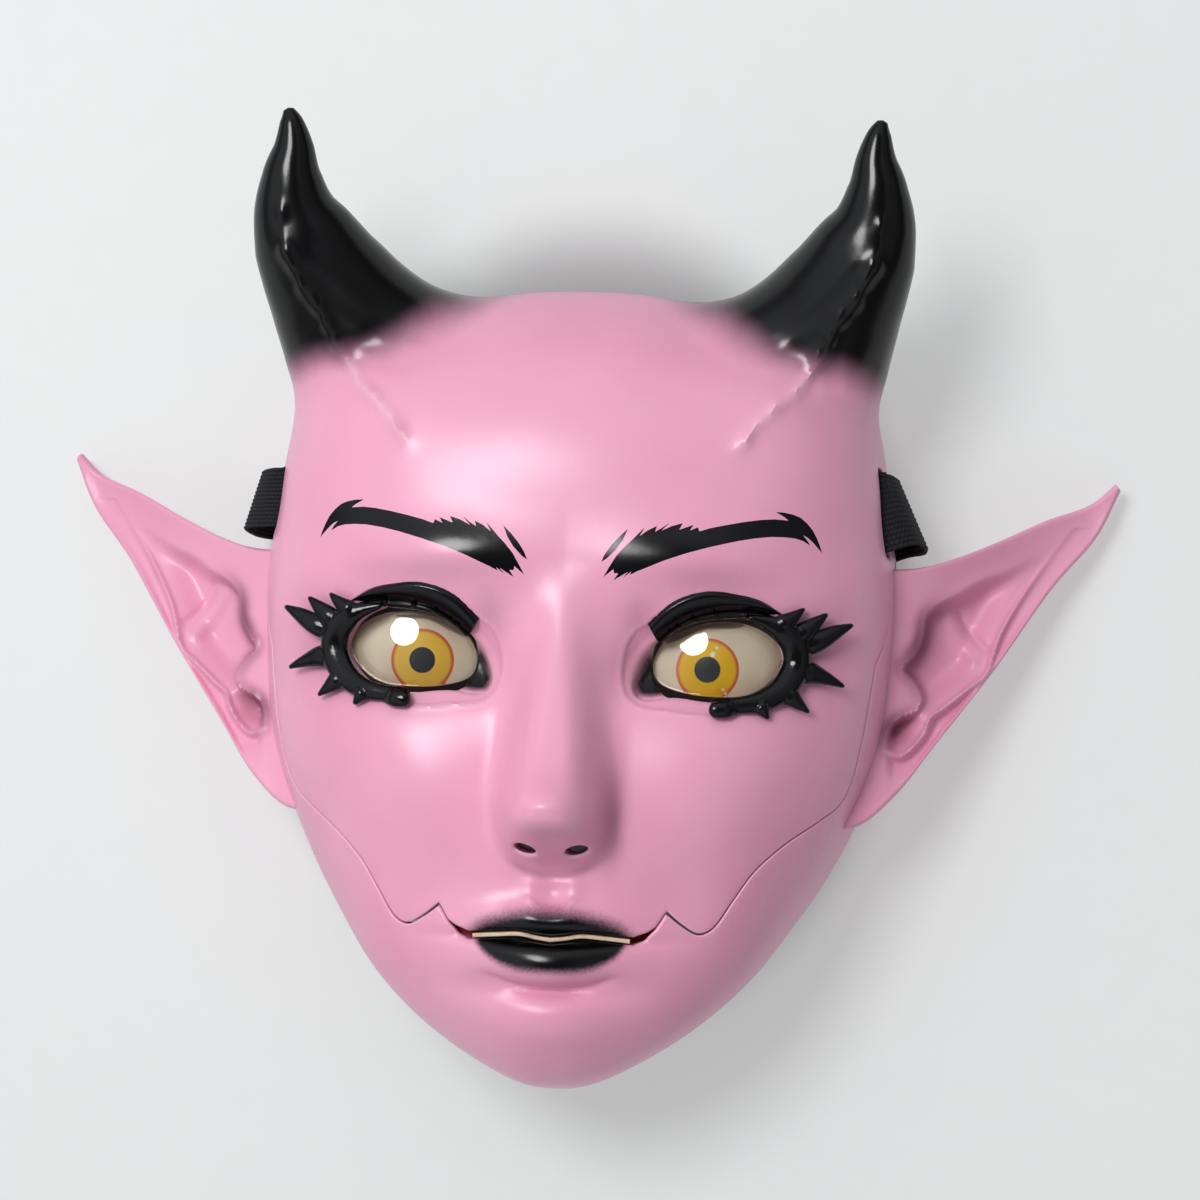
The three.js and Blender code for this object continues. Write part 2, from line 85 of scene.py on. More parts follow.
# Right nostril
NOSTRIL_X, NOSTRIL_Y, NOSTRIL_LONG, NOSTRIL_HIGH, NOSTRIL_TILT = 7.4, -73.8, 3.4, 1.35, math.radians(14)

# Right horn: middle line and the radii across and through it
HORN = [
    ((56, 58, 36), 27, 26), ((65.5, 73.5, 49), 24.5, 23.5), ((69.4, 80.4, 55), 22.4, 21),
    ((73.4, 87.2, 61), 20.2, 18.8), ((77.8, 94.6, 67), 17.6, 16.4), ((81.4, 102, 72), 15.3, 14.2),
    ((83.9, 109.5, 76), 12, 11.4), ((84.4, 118.4, 80), 8.6, 8.3), ((83.8, 126.2, 82.5), 5.8, 5.6),
    ((84.5, 133.2, 84.6), 3.3, 3.2), ((85.4, 136.6, 85.6), 1.2, 1.2),
]


# Small maths helpers
def clamp(t):
    return np.clip(t, 0.0, 1.0)


def ease(t):
    t = clamp(t)
    return t * t * (3 - 2 * t)


def bell(distance, width):
    return np.exp(-((distance / width) ** 2))


def bump(x, y, cx, cy, rx, ry):
    return np.exp(-(((x - cx) / rx) ** 2) - ((y - cy) / ry) ** 2)


def unit(v):
    return v / np.maximum(np.linalg.norm(v, axis=-1, keepdims=True), 1e-12)


def spline(points, per_span=12, closed=False):
    """Smooth curve through points, with an equal number of steps in each span."""
    p = np.asarray(points, float)
    n = len(p)
    out = []
    for i in range(n if closed else n - 1):
        p1, p2 = p[i], p[(i + 1) % n]
        p0 = p[i - 1] if closed or i > 0 else 2 * p1 - p2
        p3 = p[(i + 2) % n] if closed or i + 2 < n else 2 * p2 - p1
        pairs = ((p0, p1), (p1, p2), (p2, p3))
        d0, d1, d2 = (max(np.linalg.norm(b - a) ** 0.5, 1e-6) for a, b in pairs)
        m1 = ((p1 - p0) / d0 - (p2 - p0) / (d0 + d1) + (p2 - p1) / d1) * d1
        m2 = ((p2 - p1) / d1 - (p3 - p1) / (d1 + d2) + (p3 - p2) / d2) * d1
        t = np.arange(per_span)[:, None] / per_span
        out.append((2 * t**3 - 3 * t**2 + 1) * p1 + (t**3 - 2 * t**2 + t) * m1
                   + (3 * t**2 - 2 * t**3) * p2 + (t**3 - t**2) * m2)
    if not closed:
        out.append(p[-1:])
    return np.concatenate(out)


def even(points, step, closed=False):
    """The same line with points at even steps; a closed one doesn't repeat its first point."""
    p = np.asarray(points, float)
    if closed:
        p = np.concatenate([p, p[:1]])
    along = np.concatenate([[0], np.cumsum(np.linalg.norm(np.diff(p, axis=0), axis=1))])
    count = max(int(round(along[-1] / step)), 3)
    at = np.linspace(0, along[-1], count + 1)
    if closed:
        at = at[:-1]
    return np.stack([np.interp(at, along, column) for column in p.T], axis=1)


def sampled(table, at):
    """Rows of a table at places counted in rows, also between them."""
    return np.stack([np.interp(at, np.arange(len(table)), column) for column in table.T], axis=-1)


def line_distance(points, line, closed=False):
    """Distance from each point to a line, and the place along the line that is nearest."""
    a = np.asarray(line, float)
    b = np.roll(a, -1, axis=0)
    if not closed:
        a, b = a[:-1], b[:-1]
    length = np.linalg.norm(b - a, axis=1)
    start = np.concatenate([[0], np.cumsum(length)[:-1]])
    best = np.full(len(points), 1e9)
    place = np.zeros(len(points))
    for k in range(len(a)):
        d = b[k] - a[k]
        t = clamp(((points - a[k]) @ d) / max(length[k] ** 2, 1e-12))
        far = np.linalg.norm(points - a[k] - t[:, None] * d, axis=1)
        closer = far < best
        best[closer] = far[closer]
        place[closer] = start[k] + t[closer] * length[k]
    return best, place


def inside_loop(points, loop):
    """Which points lie inside a closed line."""
    x, y = points[:, 0], points[:, 1]
    hit = np.zeros(len(points), bool)
    for (x0, y0), (x1, y1) in zip(loop, np.roll(loop, -1, axis=0)):
        if y0 == y1:
            continue
        near = ((y0 > y) != (y1 > y))
        hit ^= near & (x < (x1 - x0) * (y - y0) / (y1 - y0) + x0)
    return hit


def signed_distance(points, loop):
    """Distance to a closed line, negative inside it."""
    far, _ = line_distance(points, loop, closed=True)
    return np.where(inside_loop(points, loop), -far, far)


# Round forms of the face: height, place across and up, half width and half height
FACE_FORMS = {
    "forehead": (4, 0, 48, 58, 34), "brow bone": (3, 34, 9, 25, 10),
    "foot of the horn": (5, 62, 64, 20, 18), "eye hollow": (-7, 42, -18, 24, 13),
    "inner corner of the eye": (-4, 22, -22, 7, 8), "cheek": (5, 50, -52, 24, 22),
    "beside the mouth": (-2, 34, -86, 12, 12),
}
INSIDE_FORMS = {"behind the lips": (-2.6, 0, -98, 34, 22)}
OUTSIDE_FORMS = {
    "nose tip": (3, 0, -61, 9, 8), "nose wing": (2, 12, -69, 4, 6),
    "edge of the philtrum": (0.6, 6, -86, 2.8, 6), "philtrum": (-0.8, 0, -86, 3.6, 7),
    "upper lip": (4.5, 0, -93.5, 18, 5), "lower lip": (5.5, 0, -104, 18, 5),
    "between the lips": (-3, 0, -98.3, 25, 1.8), "below the lower lip": (-2.5, 0, -112.5, 22, 4),
    "chin": (4, 0, -124, 17, 10),
}
FINE_FORMS = {
    "fullest part of the lower lip": (2.4, 0, -108, 12, 2.8), "dip above it": (-0.4, 0, -103.5, 12, 2.2),
    "top of the philtrum": (0.5, 0, -82.6, 4.5, 1.0),
}

# Nose: rise over the face, top and foot of its bridge, and half width of bridge and tip
NOSE_RISE, NOSE_TOP, NOSE_FOOT, NOSE_FOOT_INSIDE, NOSE_LENGTH = 25, 8, -65, -61, 70
NOSE_HALF, NOSE_WIDENING = 8.5, 5.3


def forms(x, y, table):
    return sum(high * bump(x, y, *size) for high, *size in table.values())


def front(x, y, inside=False):
    """Height of the front, with nose, brows, cheeks, lips and chin on its plain level."""
    s = np.abs(x)
    under = ((NOSE_FOOT_INSIDE if inside else NOSE_FOOT) - y + 4.5 * (s / 16) ** 3) / 16
    bridge = NOSE_RISE * clamp((NOSE_TOP - y) / NOSE_LENGTH) ** 1.4 * (1 - ease(under))
    low = clamp((-y - 15) / 45)
    nose = bridge * np.exp(-((s / (NOSE_HALF + NOSE_WIDENING * low)) ** (2 + 2 * low)))
    return FRONT + nose + forms(s, y, FACE_FORMS) + forms(s, y, INSIDE_FORMS if inside else OUTSIDE_FORMS)


def rim_height(y):
    return CHIN_RISE * ease((-58 - y) / 78)


rim_line = spline(RIM + [(-x, y) for x, y in RIM[-2:0:-1]], 200, closed=True)
rim_turn = np.arctan2(rim_line[:, 0], rim_line[:, 1] - CENTRE_Y)
rim_order = np.argsort(rim_turn)
rim_turn = rim_turn[rim_order]
rim_reach = np.hypot(rim_line[:, 0], rim_line[:, 1] - CENTRE_Y)[rim_order]


def reach(turn):
    return np.interp(turn, rim_turn, rim_reach, period=2 * math.pi)


def profile(turn):
    """Reach and height of the rim at a turn, and the two exponents of the side's curve."""
    far = reach(turn)
    up = np.cos(turn)
    low = rim_height(CENTRE_Y + far * up)
    fall = 2.6 + 0.9 * clamp(up) ** 2 + 3.4 * clamp(-up) ** 3
    square = 4 - 1.4 * clamp(-up) ** 2
    return far, low, fall, square


def skin(turn, w, inside=False, plain=False):
    """Point of the skin: turn runs round the face, w is 1 in the middle and 0 at the rim."""
    far, low, fall, square = profile(turn)
    q = 1 - w**4
    x = far * np.sin(turn) * q
    y = CENTRE_Y + far * np.cos(turn) * q
    full = -np.expm1(fall * np.log(np.maximum(q, 1e-9)))
    high = FRONT if plain else front(x, y, inside)
    return np.stack([x, y, low + (high - low) * clamp(full) ** (1 / square)], axis=-1)


# Flat chart of the skin: each place has its own direction and its own distance from the middle
TURNS, STEPS = 720, 500
turn_rows = np.linspace(-math.pi, math.pi, TURNS, endpoint=False)
w_columns = np.linspace(1, 0, STEPS + 1)
chart_rows = skin(turn_rows[:, None], w_columns[None, :], plain=True)
step_lengths = np.linalg.norm(np.diff(chart_rows, axis=1), axis=2)
run = np.concatenate([np.zeros((TURNS, 1)), np.cumsum(step_lengths, axis=1)], axis=1)
chart_reach = run[:, -1]
share_of_w = run / chart_reach[:, None]
even_shares = np.linspace(0, 1, STEPS + 1)
w_of_share = np.stack([np.interp(even_shares, row, w_columns) for row in share_of_w])


def look_up(table, turn, v):
    """Value of a table at a turn and at a place v from 0 to 1 along its rows."""
    u = (turn + math.pi) / (2 * math.pi) * TURNS
    i = np.floor(u).astype(int)
    fu = u - i
    v = clamp(v) * STEPS
    j = np.minimum(v.astype(int), STEPS - 1)
    fv = v - j
    i0, i1 = i % TURNS, (i + 1) % TURNS
    low = table[i0, j] * (1 - fv) + table[i0, j + 1] * fv
    high = table[i1, j] * (1 - fv) + table[i1, j + 1] * fv
    return low * (1 - fu) + high * fu


def reach_in_chart(turn):
    u = (turn + math.pi) / (2 * math.pi) * TURNS
    i = np.floor(u).astype(int)
    return chart_reach[i % TURNS] * (1 - (u - i)) + chart_reach[(i + 1) % TURNS] * (u - i)


def chart_to_skin(c, inside=False):
    turn = np.arctan2(c[:, 0], c[:, 1])
    share = np.hypot(c[:, 0], c[:, 1]) / reach_in_chart(turn)
    return skin(turn, look_up(w_of_share, turn, share), inside)


def skin_normal(c, inside=False):
    h = 0.08
    ax = chart_to_skin(c + (h, 0), inside) - chart_to_skin(c - (h, 0), inside)
    ay = chart_to_skin(c + (0, h), inside) - chart_to_skin(c - (0, h), inside)
    n = unit(np.cross(ax, ay))
    return np.where(n[:, 2:] < -0.3, -n, n)


def to_chart(x, y):
    """Chart place of the skin over a place of the front view."""
    x, y = np.asarray(x, float), np.asarray(y, float)
    turn = np.arctan2(x, y - CENTRE_Y)
    q = np.hypot(x, y - CENTRE_Y) / reach(turn)
    w = np.maximum(1 - q, 0) ** 0.25
    share = look_up(share_of_w, turn, 1 - w)
    far = share * reach_in_chart(turn)
    return np.stack([far * np.sin(turn), far * np.cos(turn)], axis=-1)


def skin_height(x, y, inside=False):
    turn = np.arctan2(x, y - CENTRE_Y)
    q = np.hypot(x, y - CENTRE_Y) / reach(turn)
    return skin(turn, np.maximum(1 - q, 0) ** 0.25, inside)[..., 2]


def side_to_chart(y, z):
    """Chart place of the right side of the skin at a height."""
    y, z = np.broadcast_arrays(np.asarray(y, float), np.asarray(z, float))
    low, high = np.full(y.shape, 40.0), np.full(y.shape, 100.0)
    for _ in range(48):
        x = (low + high) / 2
        above = skin_height(x, y) > z
        low, high = np.where(above, x, low), np.where(above, high, x)
    return to_chart(low, y)


# Meshes
SHARP_ANGLE = math.radians(50)


def to_metres(points):
    return (np.asarray(points, float) - (0, MIDDLE_Y, 0)) / 1000


def mirrored(points):
    return np.asarray(points, float) * (-1, 1, 1)


def make(name, points, faces, material, body, nodes, slot, marks=None, face_marks=None):
    """One closed piece from millimetre points, with numbers per point that its material reads."""
    mesh = bpy.data.meshes.new(name)
    mesh.from_pydata(to_metres(points).tolist(), [], [list(map(int, f)) for f in faces])
    work = bmesh.new()
    work.from_mesh(mesh)
    bmesh.ops.recalc_face_normals(work, faces=work.faces)
    work.to_mesh(mesh)
    work.free()
    mesh.shade_smooth()
    mesh.set_sharp_from_angle(angle=SHARP_ANGLE)
    for domain, table in (("POINT", marks), ("FACE", face_marks)):
        for key, values in (table or {}).items():
            layer = mesh.attributes.new(key, "FLOAT", domain)
            layer.data.foreach_set("value", np.asarray(values, np.float32))
    mesh.materials.append(material)
    piece = bpy.data.objects.new(name, mesh)
    bpy.context.collection.objects.link(piece)
    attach(piece, body)
    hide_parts(*nodes)
    return piece


def quads(ids):
    """Quads between neighbouring rows of a closed grid of point numbers."""
    a, b = ids[:-1], ids[1:]
    return np.stack([a, np.roll(a, -1, axis=1), np.roll(b, -1, axis=1), b], axis=-1).reshape(-1, 4)


def fan(ring, middle):
    return np.stack([ring, np.roll(ring, -1), np.full(len(ring), middle)], axis=1)


def tube(rings):
    """Points and faces of a closed body through rings, with a fan at each end."""
    count, n = rings.shape[:2]
    ids = np.arange(count * n).reshape(count, n)
    points = np.concatenate([rings.reshape(-1, 3), rings[0].mean(axis=0)[None], rings[-1].mean(axis=0)[None]])
    faces = quads(ids).tolist() + fan(ids[0], count * n).tolist() + fan(ids[-1], count * n + 1).tolist()
    return points, faces


def pair(name, points, faces, material, body, node, slot, marks=None):
    """The same piece on the right and, mirrored, on the left."""
    make(f"right_{name}", points, faces, material, body, [f"{node}_right"], slot, marks)
    make(f"left_{name}", mirrored(points), faces, material, body, [f"{node}_left"], slot, marks)


def net(loops, points, lines=()):
    """Triangles over a flat area, inside the first loop and outside the others, along all lines."""
    verts = np.concatenate(list(loops) + list(lines) + [points])
    edges = []
    start = 0
    for loop in list(loops) + list(lines):
        n = len(loop)
        edges += [(start + i, start + (i + 1) % n) for i in range(n)]
        start += n
    out = geometry.delaunay_2d_cdt([Vector(p) for p in verts.tolist()], edges, [], 0, 1e-6, True)
    flat = np.array([tuple(v) for v in out[0]])
    faces = np.array(out[2])
    middle = flat[faces].mean(axis=1)
    keep = inside_loop(middle, loops[0])
    for loop in loops[1:]:
        near = keep & (np.abs(middle - loop.mean(axis=0)).max(axis=1) < np.ptp(loop, axis=0).max())
        keep[near] &= ~inside_loop(middle[near], loop)
    place = np.full(len(verts), -1)
    for new, old in enumerate(out[3]):
        place[old] = new
    return flat, faces[keep], place


def honeycomb(x0, y0, x1, y1, step):
    ys = np.arange(y0, y1, step * 0.866)
    xs = np.arange(x0, x1, step)
    grid = np.stack(np.meshgrid(xs, ys), axis=-1)
    grid[1::2, :, 0] += step / 2
    return grid.reshape(-1, 2)


def tree_of(points):
    """Search tree of flat points."""
    tree = KDTree(len(points))
    for i, (x, y) in enumerate(points.tolist()):
        tree.insert((x, y, 0), i)
    tree.balance()
    return tree


def nearest_edge(points, loops):
    """Distance from each point to the nearest loop, and the number of the nearest loop point."""
    every = np.concatenate(loops)
    before = np.concatenate([np.roll(loop, 1, axis=0) for loop in loops])
    after = np.concatenate([np.roll(loop, -1, axis=0) for loop in loops])
    tree = tree_of(every)
    near = np.array([tree.find((x, y, 0))[1] for x, y in points.tolist()])
    far = np.full(len(points), 1e9)
    for other in (before, after):
        d = other[near] - every[near]
        t = clamp(np.sum((points - every[near]) * d, axis=1) / np.maximum(np.sum(d * d, axis=1), 1e-12))
        far = np.minimum(far, np.linalg.norm(points - every[near] - t[:, None] * d, axis=1))
    return far, near


# Horn, blended into the forehead
horn_axis = spline([place for place, _, _ in HORN], 20)
horn_radii = spline([(across, through) for _, across, through in HORN], 20)
horn_steps = np.gradient(horn_axis, axis=0)
horn_along = unit(horn_steps)
horn_taper = np.gradient(horn_radii, axis=0) / np.linalg.norm(horn_steps, axis=1, keepdims=True)
horn_across = unit(np.stack([-horn_along[:, 1], horn_along[:, 0], np.zeros(len(horn_axis))], axis=1))
horn_through = np.cross(horn_along, horn_across)
HORN_COLUMNS = 132
ROOT_RINGS, HORN_RINGS = 16, 64
FILLET, FILLET_TOP, FILLET_OUTER = 11.0, 8.0, -4.5
HORN_PROBES, ROOT_REACH, ROOT_PROBES = 260, 48, 120
PROBE = 0.05


def fillet(side):
    return FILLET + FILLET_TOP * clamp(side) + FILLET_OUTER * clamp(-side)


def horn_distance(p):
    """Rough distance from the horn's surface, and how far round it towards the brow's middle."""
    last = len(horn_axis) - 1
    near = np.argmin(((p[:, None, :] - horn_axis[None, ::4]) ** 2).sum(axis=2), axis=1) * 4
    for _ in range(2):
        t = np.sum((p - horn_axis[near]) * horn_along[near], axis=1)
        step = np.linalg.norm(horn_axis[np.minimum(near + 1, last)] - horn_axis[near - 1], axis=1) / 2
        near = np.clip(near + np.round(t / np.maximum(step, 0.1)).astype(int), 1, last)
    t = np.sum((p - horn_axis[near]) * horn_along[near], axis=1)
    off = p - horn_axis[near] - t[:, None] * horn_along[near]
    a = np.sum(off * horn_across[near], axis=1)
    b = np.sum(off * horn_through[near], axis=1)
    ra, rb = np.maximum(horn_radii[near] + horn_taper[near] * t[:, None], 0.3).T
    r = np.sqrt((a / ra) ** 2 + (b / rb) ** 2)
    return (r - 1) * (ra + rb) / 2, a / np.maximum(ra * r, 1e-6)


def dome_field(p):
    x, y, z = p[:, 0], p[:, 1], p[:, 2]
    far, low, fall, square = profile(np.arctan2(x, y - CENTRE_Y))
    h = np.maximum((z - low) / (front(x, y) - low), 0)
    return (np.hypot(x, y - CENTRE_Y) / far) ** fall + h**square - 1


def slope_of(field, p, value):
    """Gradient of a field at points where its value is known."""
    return np.stack([(field(p + PROBE * axis) - value) / PROBE for axis in np.eye(3)], axis=1)


def dome_distance(p):
    g = dome_field(p)
    return g / np.maximum(np.linalg.norm(slope_of(dome_field, p, g), axis=1), 1e-4)


def blended(p):
    """Distance from forehead and horn together, with a round hollow between them."""
    dome, (horn, side) = dome_distance(p), horn_distance(p)
    soft = fillet(side)
    share = clamp(0.5 + 0.5 * (horn - dome) / soft)
    return horn * (1 - share) + dome * share - soft * share * (1 - share)


def settle(p, rounds=6):
    """Moves points onto the blended surface; also gives its direction there."""
    for _ in range(rounds):
        d = blended(p)
        slope = slope_of(blended, p, d)
        size = np.maximum(np.sum(slope**2, axis=1), 0.05)
        p = p - (np.clip(d / size, -4, 4))[:, None] * slope
    return p, unit(slope)


def chart_place(p):
    """Chart place of a point of the plain skin, also on its steep sides."""
    turn = np.arctan2(p[:, 0], p[:, 1] - CENTRE_Y)
    far, low, fall, square = profile(turn)
    h = clamp((p[:, 2] - low) / (front(p[:, 0], p[:, 1]) - low))
    flat = clamp(np.hypot(p[:, 0], p[:, 1] - CENTRE_Y) / far)
    q = np.where(h < 0.85, clamp(1 - h**square) ** (1 / fall), flat)
    share = look_up(share_of_w, turn, 1 - (1 - q) ** 0.25)
    r = share * reach_in_chart(turn)
    return np.stack([r * np.sin(turn), r * np.cos(turn)], axis=1)


def horn_surface(angle, at):
    """Point on the plain horn at an angle and a place along the axis, both arrays."""
    across, through = sampled(horn_radii, at).T
    return (sampled(horn_axis, at) + (across * np.cos(angle))[:, None] * sampled(horn_across, at)
            + (through * np.sin(angle))[:, None] * sampled(horn_through, at))


def horn_rings():
    """Root outline in the chart, and rings of points from there to the tip."""
    angle = np.arange(HORN_COLUMNS) * 2 * math.pi / HORN_COLUMNS
    steps = np.linspace(0, len(horn_axis) - 1, HORN_PROBES)
    grid = horn_surface(np.repeat(angle, len(steps)), np.tile(steps, HORN_COLUMNS))
    outside = dome_distance(grid).reshape(HORN_COLUMNS, -1) > 0
    leave = np.array([len(steps) - np.argmin(row[::-1]) if not row.all() else 0 for row in outside])
    start = steps[np.minimum(leave, len(steps) - 1)]
    crossing = horn_surface(angle, start)
    crossing_chart = chart_place(crossing)
    centre = crossing_chart.mean(axis=0)
    ray = crossing_chart - centre
    size = np.linalg.norm(ray, axis=1)
    go = np.linspace(0, ROOT_REACH, ROOT_PROBES)
    along = centre + ray[:, None, :] * (1 + go[None, :] / size[:, None])[..., None]
    flat = along.reshape(-1, 2)
    horn, side = horn_distance(chart_to_skin(flat))
    clear = (horn - fillet(side)).reshape(HORN_COLUMNS, -1)
    share = np.hypot(flat[:, 0], flat[:, 1]) / reach_in_chart(np.arctan2(flat[:, 0], flat[:, 1]))
    stop = (clear > 0) | (share.reshape(HORN_COLUMNS, -1) > 0.96)
    reached = go[np.argmax(stop, axis=1)] + 1.2
    slow_waves = np.abs(np.fft.fftfreq(HORN_COLUMNS)) < 0.08
    reached = np.real(np.fft.ifft(np.fft.fft(reached) * slow_waves))
    outline = centre + ray * (1 + reached / size)[:, None]
    rings = [chart_to_skin(outline)]
    for i in range(1, ROOT_RINGS):
        u = i / ROOT_RINGS
        rings.append(settle(chart_to_skin(outline + u * (crossing_chart - outline)))[0])
    for i in range(HORN_RINGS):
        u = (i / HORN_RINGS) ** 0.95
        rings.append(settle(horn_surface(angle, start + u * (len(horn_axis) - 1 - start)))[0])
    rings = np.array(rings)
    around = np.roll(rings, -1, axis=1) - np.roll(rings, 1, axis=1)
    normal = unit(np.cross(around, np.gradient(rings, axis=0)))
    lift = relief(rings.reshape(-1, 3)).reshape(rings.shape[:2]) * clamp(normal[..., 2] * 2)
    lift[-1] = 0
    return outline, rings + normal * lift[..., None]


# Edges of the two shells in the chart
def offset_line(line, distance):
    along = unit(np.gradient(line, axis=0))
    return line + distance * np.stack([along[:, 1], -along[:, 0]], axis=1)


def rim_points(y0, y1):
    """Places on the right half of the rim from one height on the face to another."""
    turn = np.linspace(0, math.pi, 2000)
    y = CENTRE_Y + reach(turn) * np.cos(turn)
    ends = [np.interp(-v, -y, turn) for v in (y0, y1)]
    turn = np.linspace(*ends, 400)
    r = reach_in_chart(turn)
    return even(np.stack([r * np.sin(turn), r * np.cos(turn)], axis=1), 1.6)


def seam_half(side, notch, corner):
    """Right half of the parting line, from the middle of the lips to the rim."""
    lip = spline(LIP_LINE, 12) + (0, side * LIP_GAP)
    cheek = spline(corner + CHEEK_SEAM, 16)
    angle = np.radians(np.linspace(88, -72, 60))
    arc_z = np.maximum(HINGE_Z + HINGE_SWEEP * np.sin(angle), 0.01)
    arc = side_to_chart(HINGE_Y + HINGE_SWEEP * np.cos(angle), arc_z)
    line = np.concatenate([to_chart(cheek[:, 0], cheek[:, 1]), arc])
    line = offset_line(even(line, 0.9), -side * SEAM_GAP)
    lip = even(to_chart(lip[:, 0], lip[:, 1]), 0.8)
    bend = even(to_chart(*np.array(notch).T), 0.8)
    return np.concatenate([lip[:-1], bend[:-1], line]), len(lip) + len(bend) - 2


def loop_of(half):
    """Closed line from its right half, which starts and ends on the middle line."""
    return np.concatenate([half[:-1], (half * (-1, 1))[:0:-1]])


face_seam, face_lips = seam_half(1, FACE_NOTCH, FACE_SEAM)
jaw_seam, jaw_lips = seam_half(-1, JAW_NOTCH, JAW_SEAM)
arch_low, arch_high = SLOT_Y - ARCH_HALF, SLOT_Y + ARCH_HALF
arch_corner = [(0, 0.01), (0, ARCH_HEIGHT - 1.6), (0.5, ARCH_HEIGHT - 0.5), (1.6, ARCH_HEIGHT)]
arch_line = [(arch_low + a, z) for a, z in arch_corner] + [(arch_high - a, z) for a, z in arch_corner[::-1]]
arch = even(side_to_chart(*np.array(arch_line).T), 1.2)
face_end = HINGE_Y + HINGE_SWEEP * math.cos(math.radians(72)) + 0.3
face_half = np.concatenate([
    face_seam, rim_points(face_end, arch_low - 0.6), arch, rim_points(arch_high + 0.6, 94),
])
face_half[[0, -1], 0] = 0
jaw_half = np.concatenate([jaw_seam, rim_points(face_end - 0.8, -142.2)])
jaw_half[[0, -1], 0] = 0
face_loop, jaw_loop = loop_of(face_half), loop_of(jaw_half)

eye_front = even(spline(EYE_OPENING, 20, closed=True), 0.9, closed=True)
eye_loop = to_chart(*eye_front.T)
swing = np.linspace(0, 2 * math.pi, 40, endpoint=False)
nostril_front = np.stack([NOSTRIL_LONG * np.cos(swing), NOSTRIL_HIGH * np.sin(swing)], axis=1)
tilt_cos, tilt_sin = math.cos(NOSTRIL_TILT), math.sin(NOSTRIL_TILT)
nostril_front = nostril_front @ np.array([[tilt_cos, tilt_sin], [-tilt_sin, tilt_cos]])
nostril_loop = to_chart(*(nostril_front + (NOSTRIL_X, NOSTRIL_Y)).T)
half_long, half_high, round_end = SLOT_LENGTH / 2, SLOT_HEIGHT / 2, 1.5
slot_corners = []
for k, (sy, sz) in enumerate(((1, 1), (-1, 1), (-1, -1), (1, -1))):
    for a in np.radians(90 * k + np.array([0, 30, 60, 90])):
        slot_corners.append((SLOT_Y + sy * (half_long - round_end) + round_end * math.cos(a),
                             SLOT_Z + sz * (half_high - round_end) + round_end * math.sin(a)))
slot_corners = even(np.array(slot_corners), 1.0, closed=True)
slot_loop = side_to_chart(*slot_corners.T)


# Outline of the painted brow and of the single stroke beside it
BROW = [
    (11.2, 3.6), (12.6, 6.1), (14.6, 9.5), (16.9, 12.2), (19.0, 14.3), (22.4, 18.0), (21.0, 15.4),
    (23.2, 17.1), (25.8, 18.5), (25.3, 16.8), (27.1, 17.9), (29.4, 19.7), (27.0, 17.1), (29.9, 18.6),
    (33.0, 19.6), (32.0, 17.6), (34.0, 18.4), (36.0, 19.2), (35.0, 17.5), (37.3, 18.6), (37.7, 17.4),
    (40.8, 18.5), (45.5, 19.7), (50.3, 20.8), (55.1, 21.7), (58.7, 22.1), (62.5, 22.0), (61.3, 22.9),
    (58.8, 24.2), (61.2, 24.2), (63.7, 23.8), (65.8, 23.1), (67.7, 21.6), (69.3, 19.8), (70.6, 17.5),
    (71.4, 15.6), (72.1, 13.6), (70.5, 15.3), (69.0, 16.8), (67.8, 17.7), (66.6, 18.2), (67.9, 16.7),
    (68.7, 15.4), (66.6, 16.6), (64.4, 17.1), (61.5, 17.2), (57.6, 17.0), (52.9, 16.2), (48.1, 15.1),
    (41.0, 13.1), (34.4, 11.0), (28.2, 8.7), (23.4, 6.6), (20.8, 5.5), (18.6, 4.4), (19.2, 5.5),
    (16.8, 3.6), (18.2, 5.3), (14.1, 2.8), (15.5, 4.8), (14.2, 4.7), (14.0, 5.9),
]
BROW_STROKE = [
    (17.6, 17.3), (16.3, 14.1), (14.5, 11.4), (12.2, 9.0), (10.5, 7.8), (11.4, 10.0), (13.0, 12.4),
    (15.3, 15.1),
]
SOCKET = [
    (23.4, -8.8), (19.4, -12.0), (17.3, -18.1), (17.0, -24.5), (18.8, -30.0), (22.6, -32.6),
    (30.6, -33.6), (38.9, -34.5), (46, -34.2), (54, -31), (60, -27.5), (64.5, -23), (65.5, -17),
    (64, -10), (60, -5), (54, -1.8), (48, -0.2), (41.8, 0.4), (35.5, -0.9), (30, -3.8),
]
SOCKET_POCKET = [
    (26.8, -13.2), (22.9, -17.0), (20.7, -21.7), (19.9, -26.0), (21.2, -29.1), (25.0, -30.0),
    (29.1, -29.3), (35, -29.3), (43.2, -30.0), (52.9, -28.8), (59.6, -24.4), (63.4, -17.7),
    (60.2, -10.5), (52, -6.3), (41.9, -5.8), (33.8, -8.2),
]
# How far the inner skin gives way behind the pocket, and the ledge that the eye rests on
POCKET_DEPTH, SEAT_WIDTH = 5.0, 1.3

# Middle of the fade from black horn to pink, and the crest that runs down the horn into the forehead
HORN_FADE = [
    (10, 116), (22, 97), (31, 87.5), (39.2, 81.5), (45.7, 76.6), (53.9, 71.2), (61.9, 68.2),
    (69.3, 65.8), (75, 66.2), (85.6, 63.5), (100, 60),
]
HORN_CREST = [
    (85.2, 133), (86.4, 120), (85.8, 106), (83.9, 94.9), (81.5, 90.9), (79.2, 86), (73.9, 79.3),
    (72.5, 76), (68.5, 68.5), (61.7, 57.9), (57.6, 54.1), (53.6, 49.9), (47.4, 41.7),
]
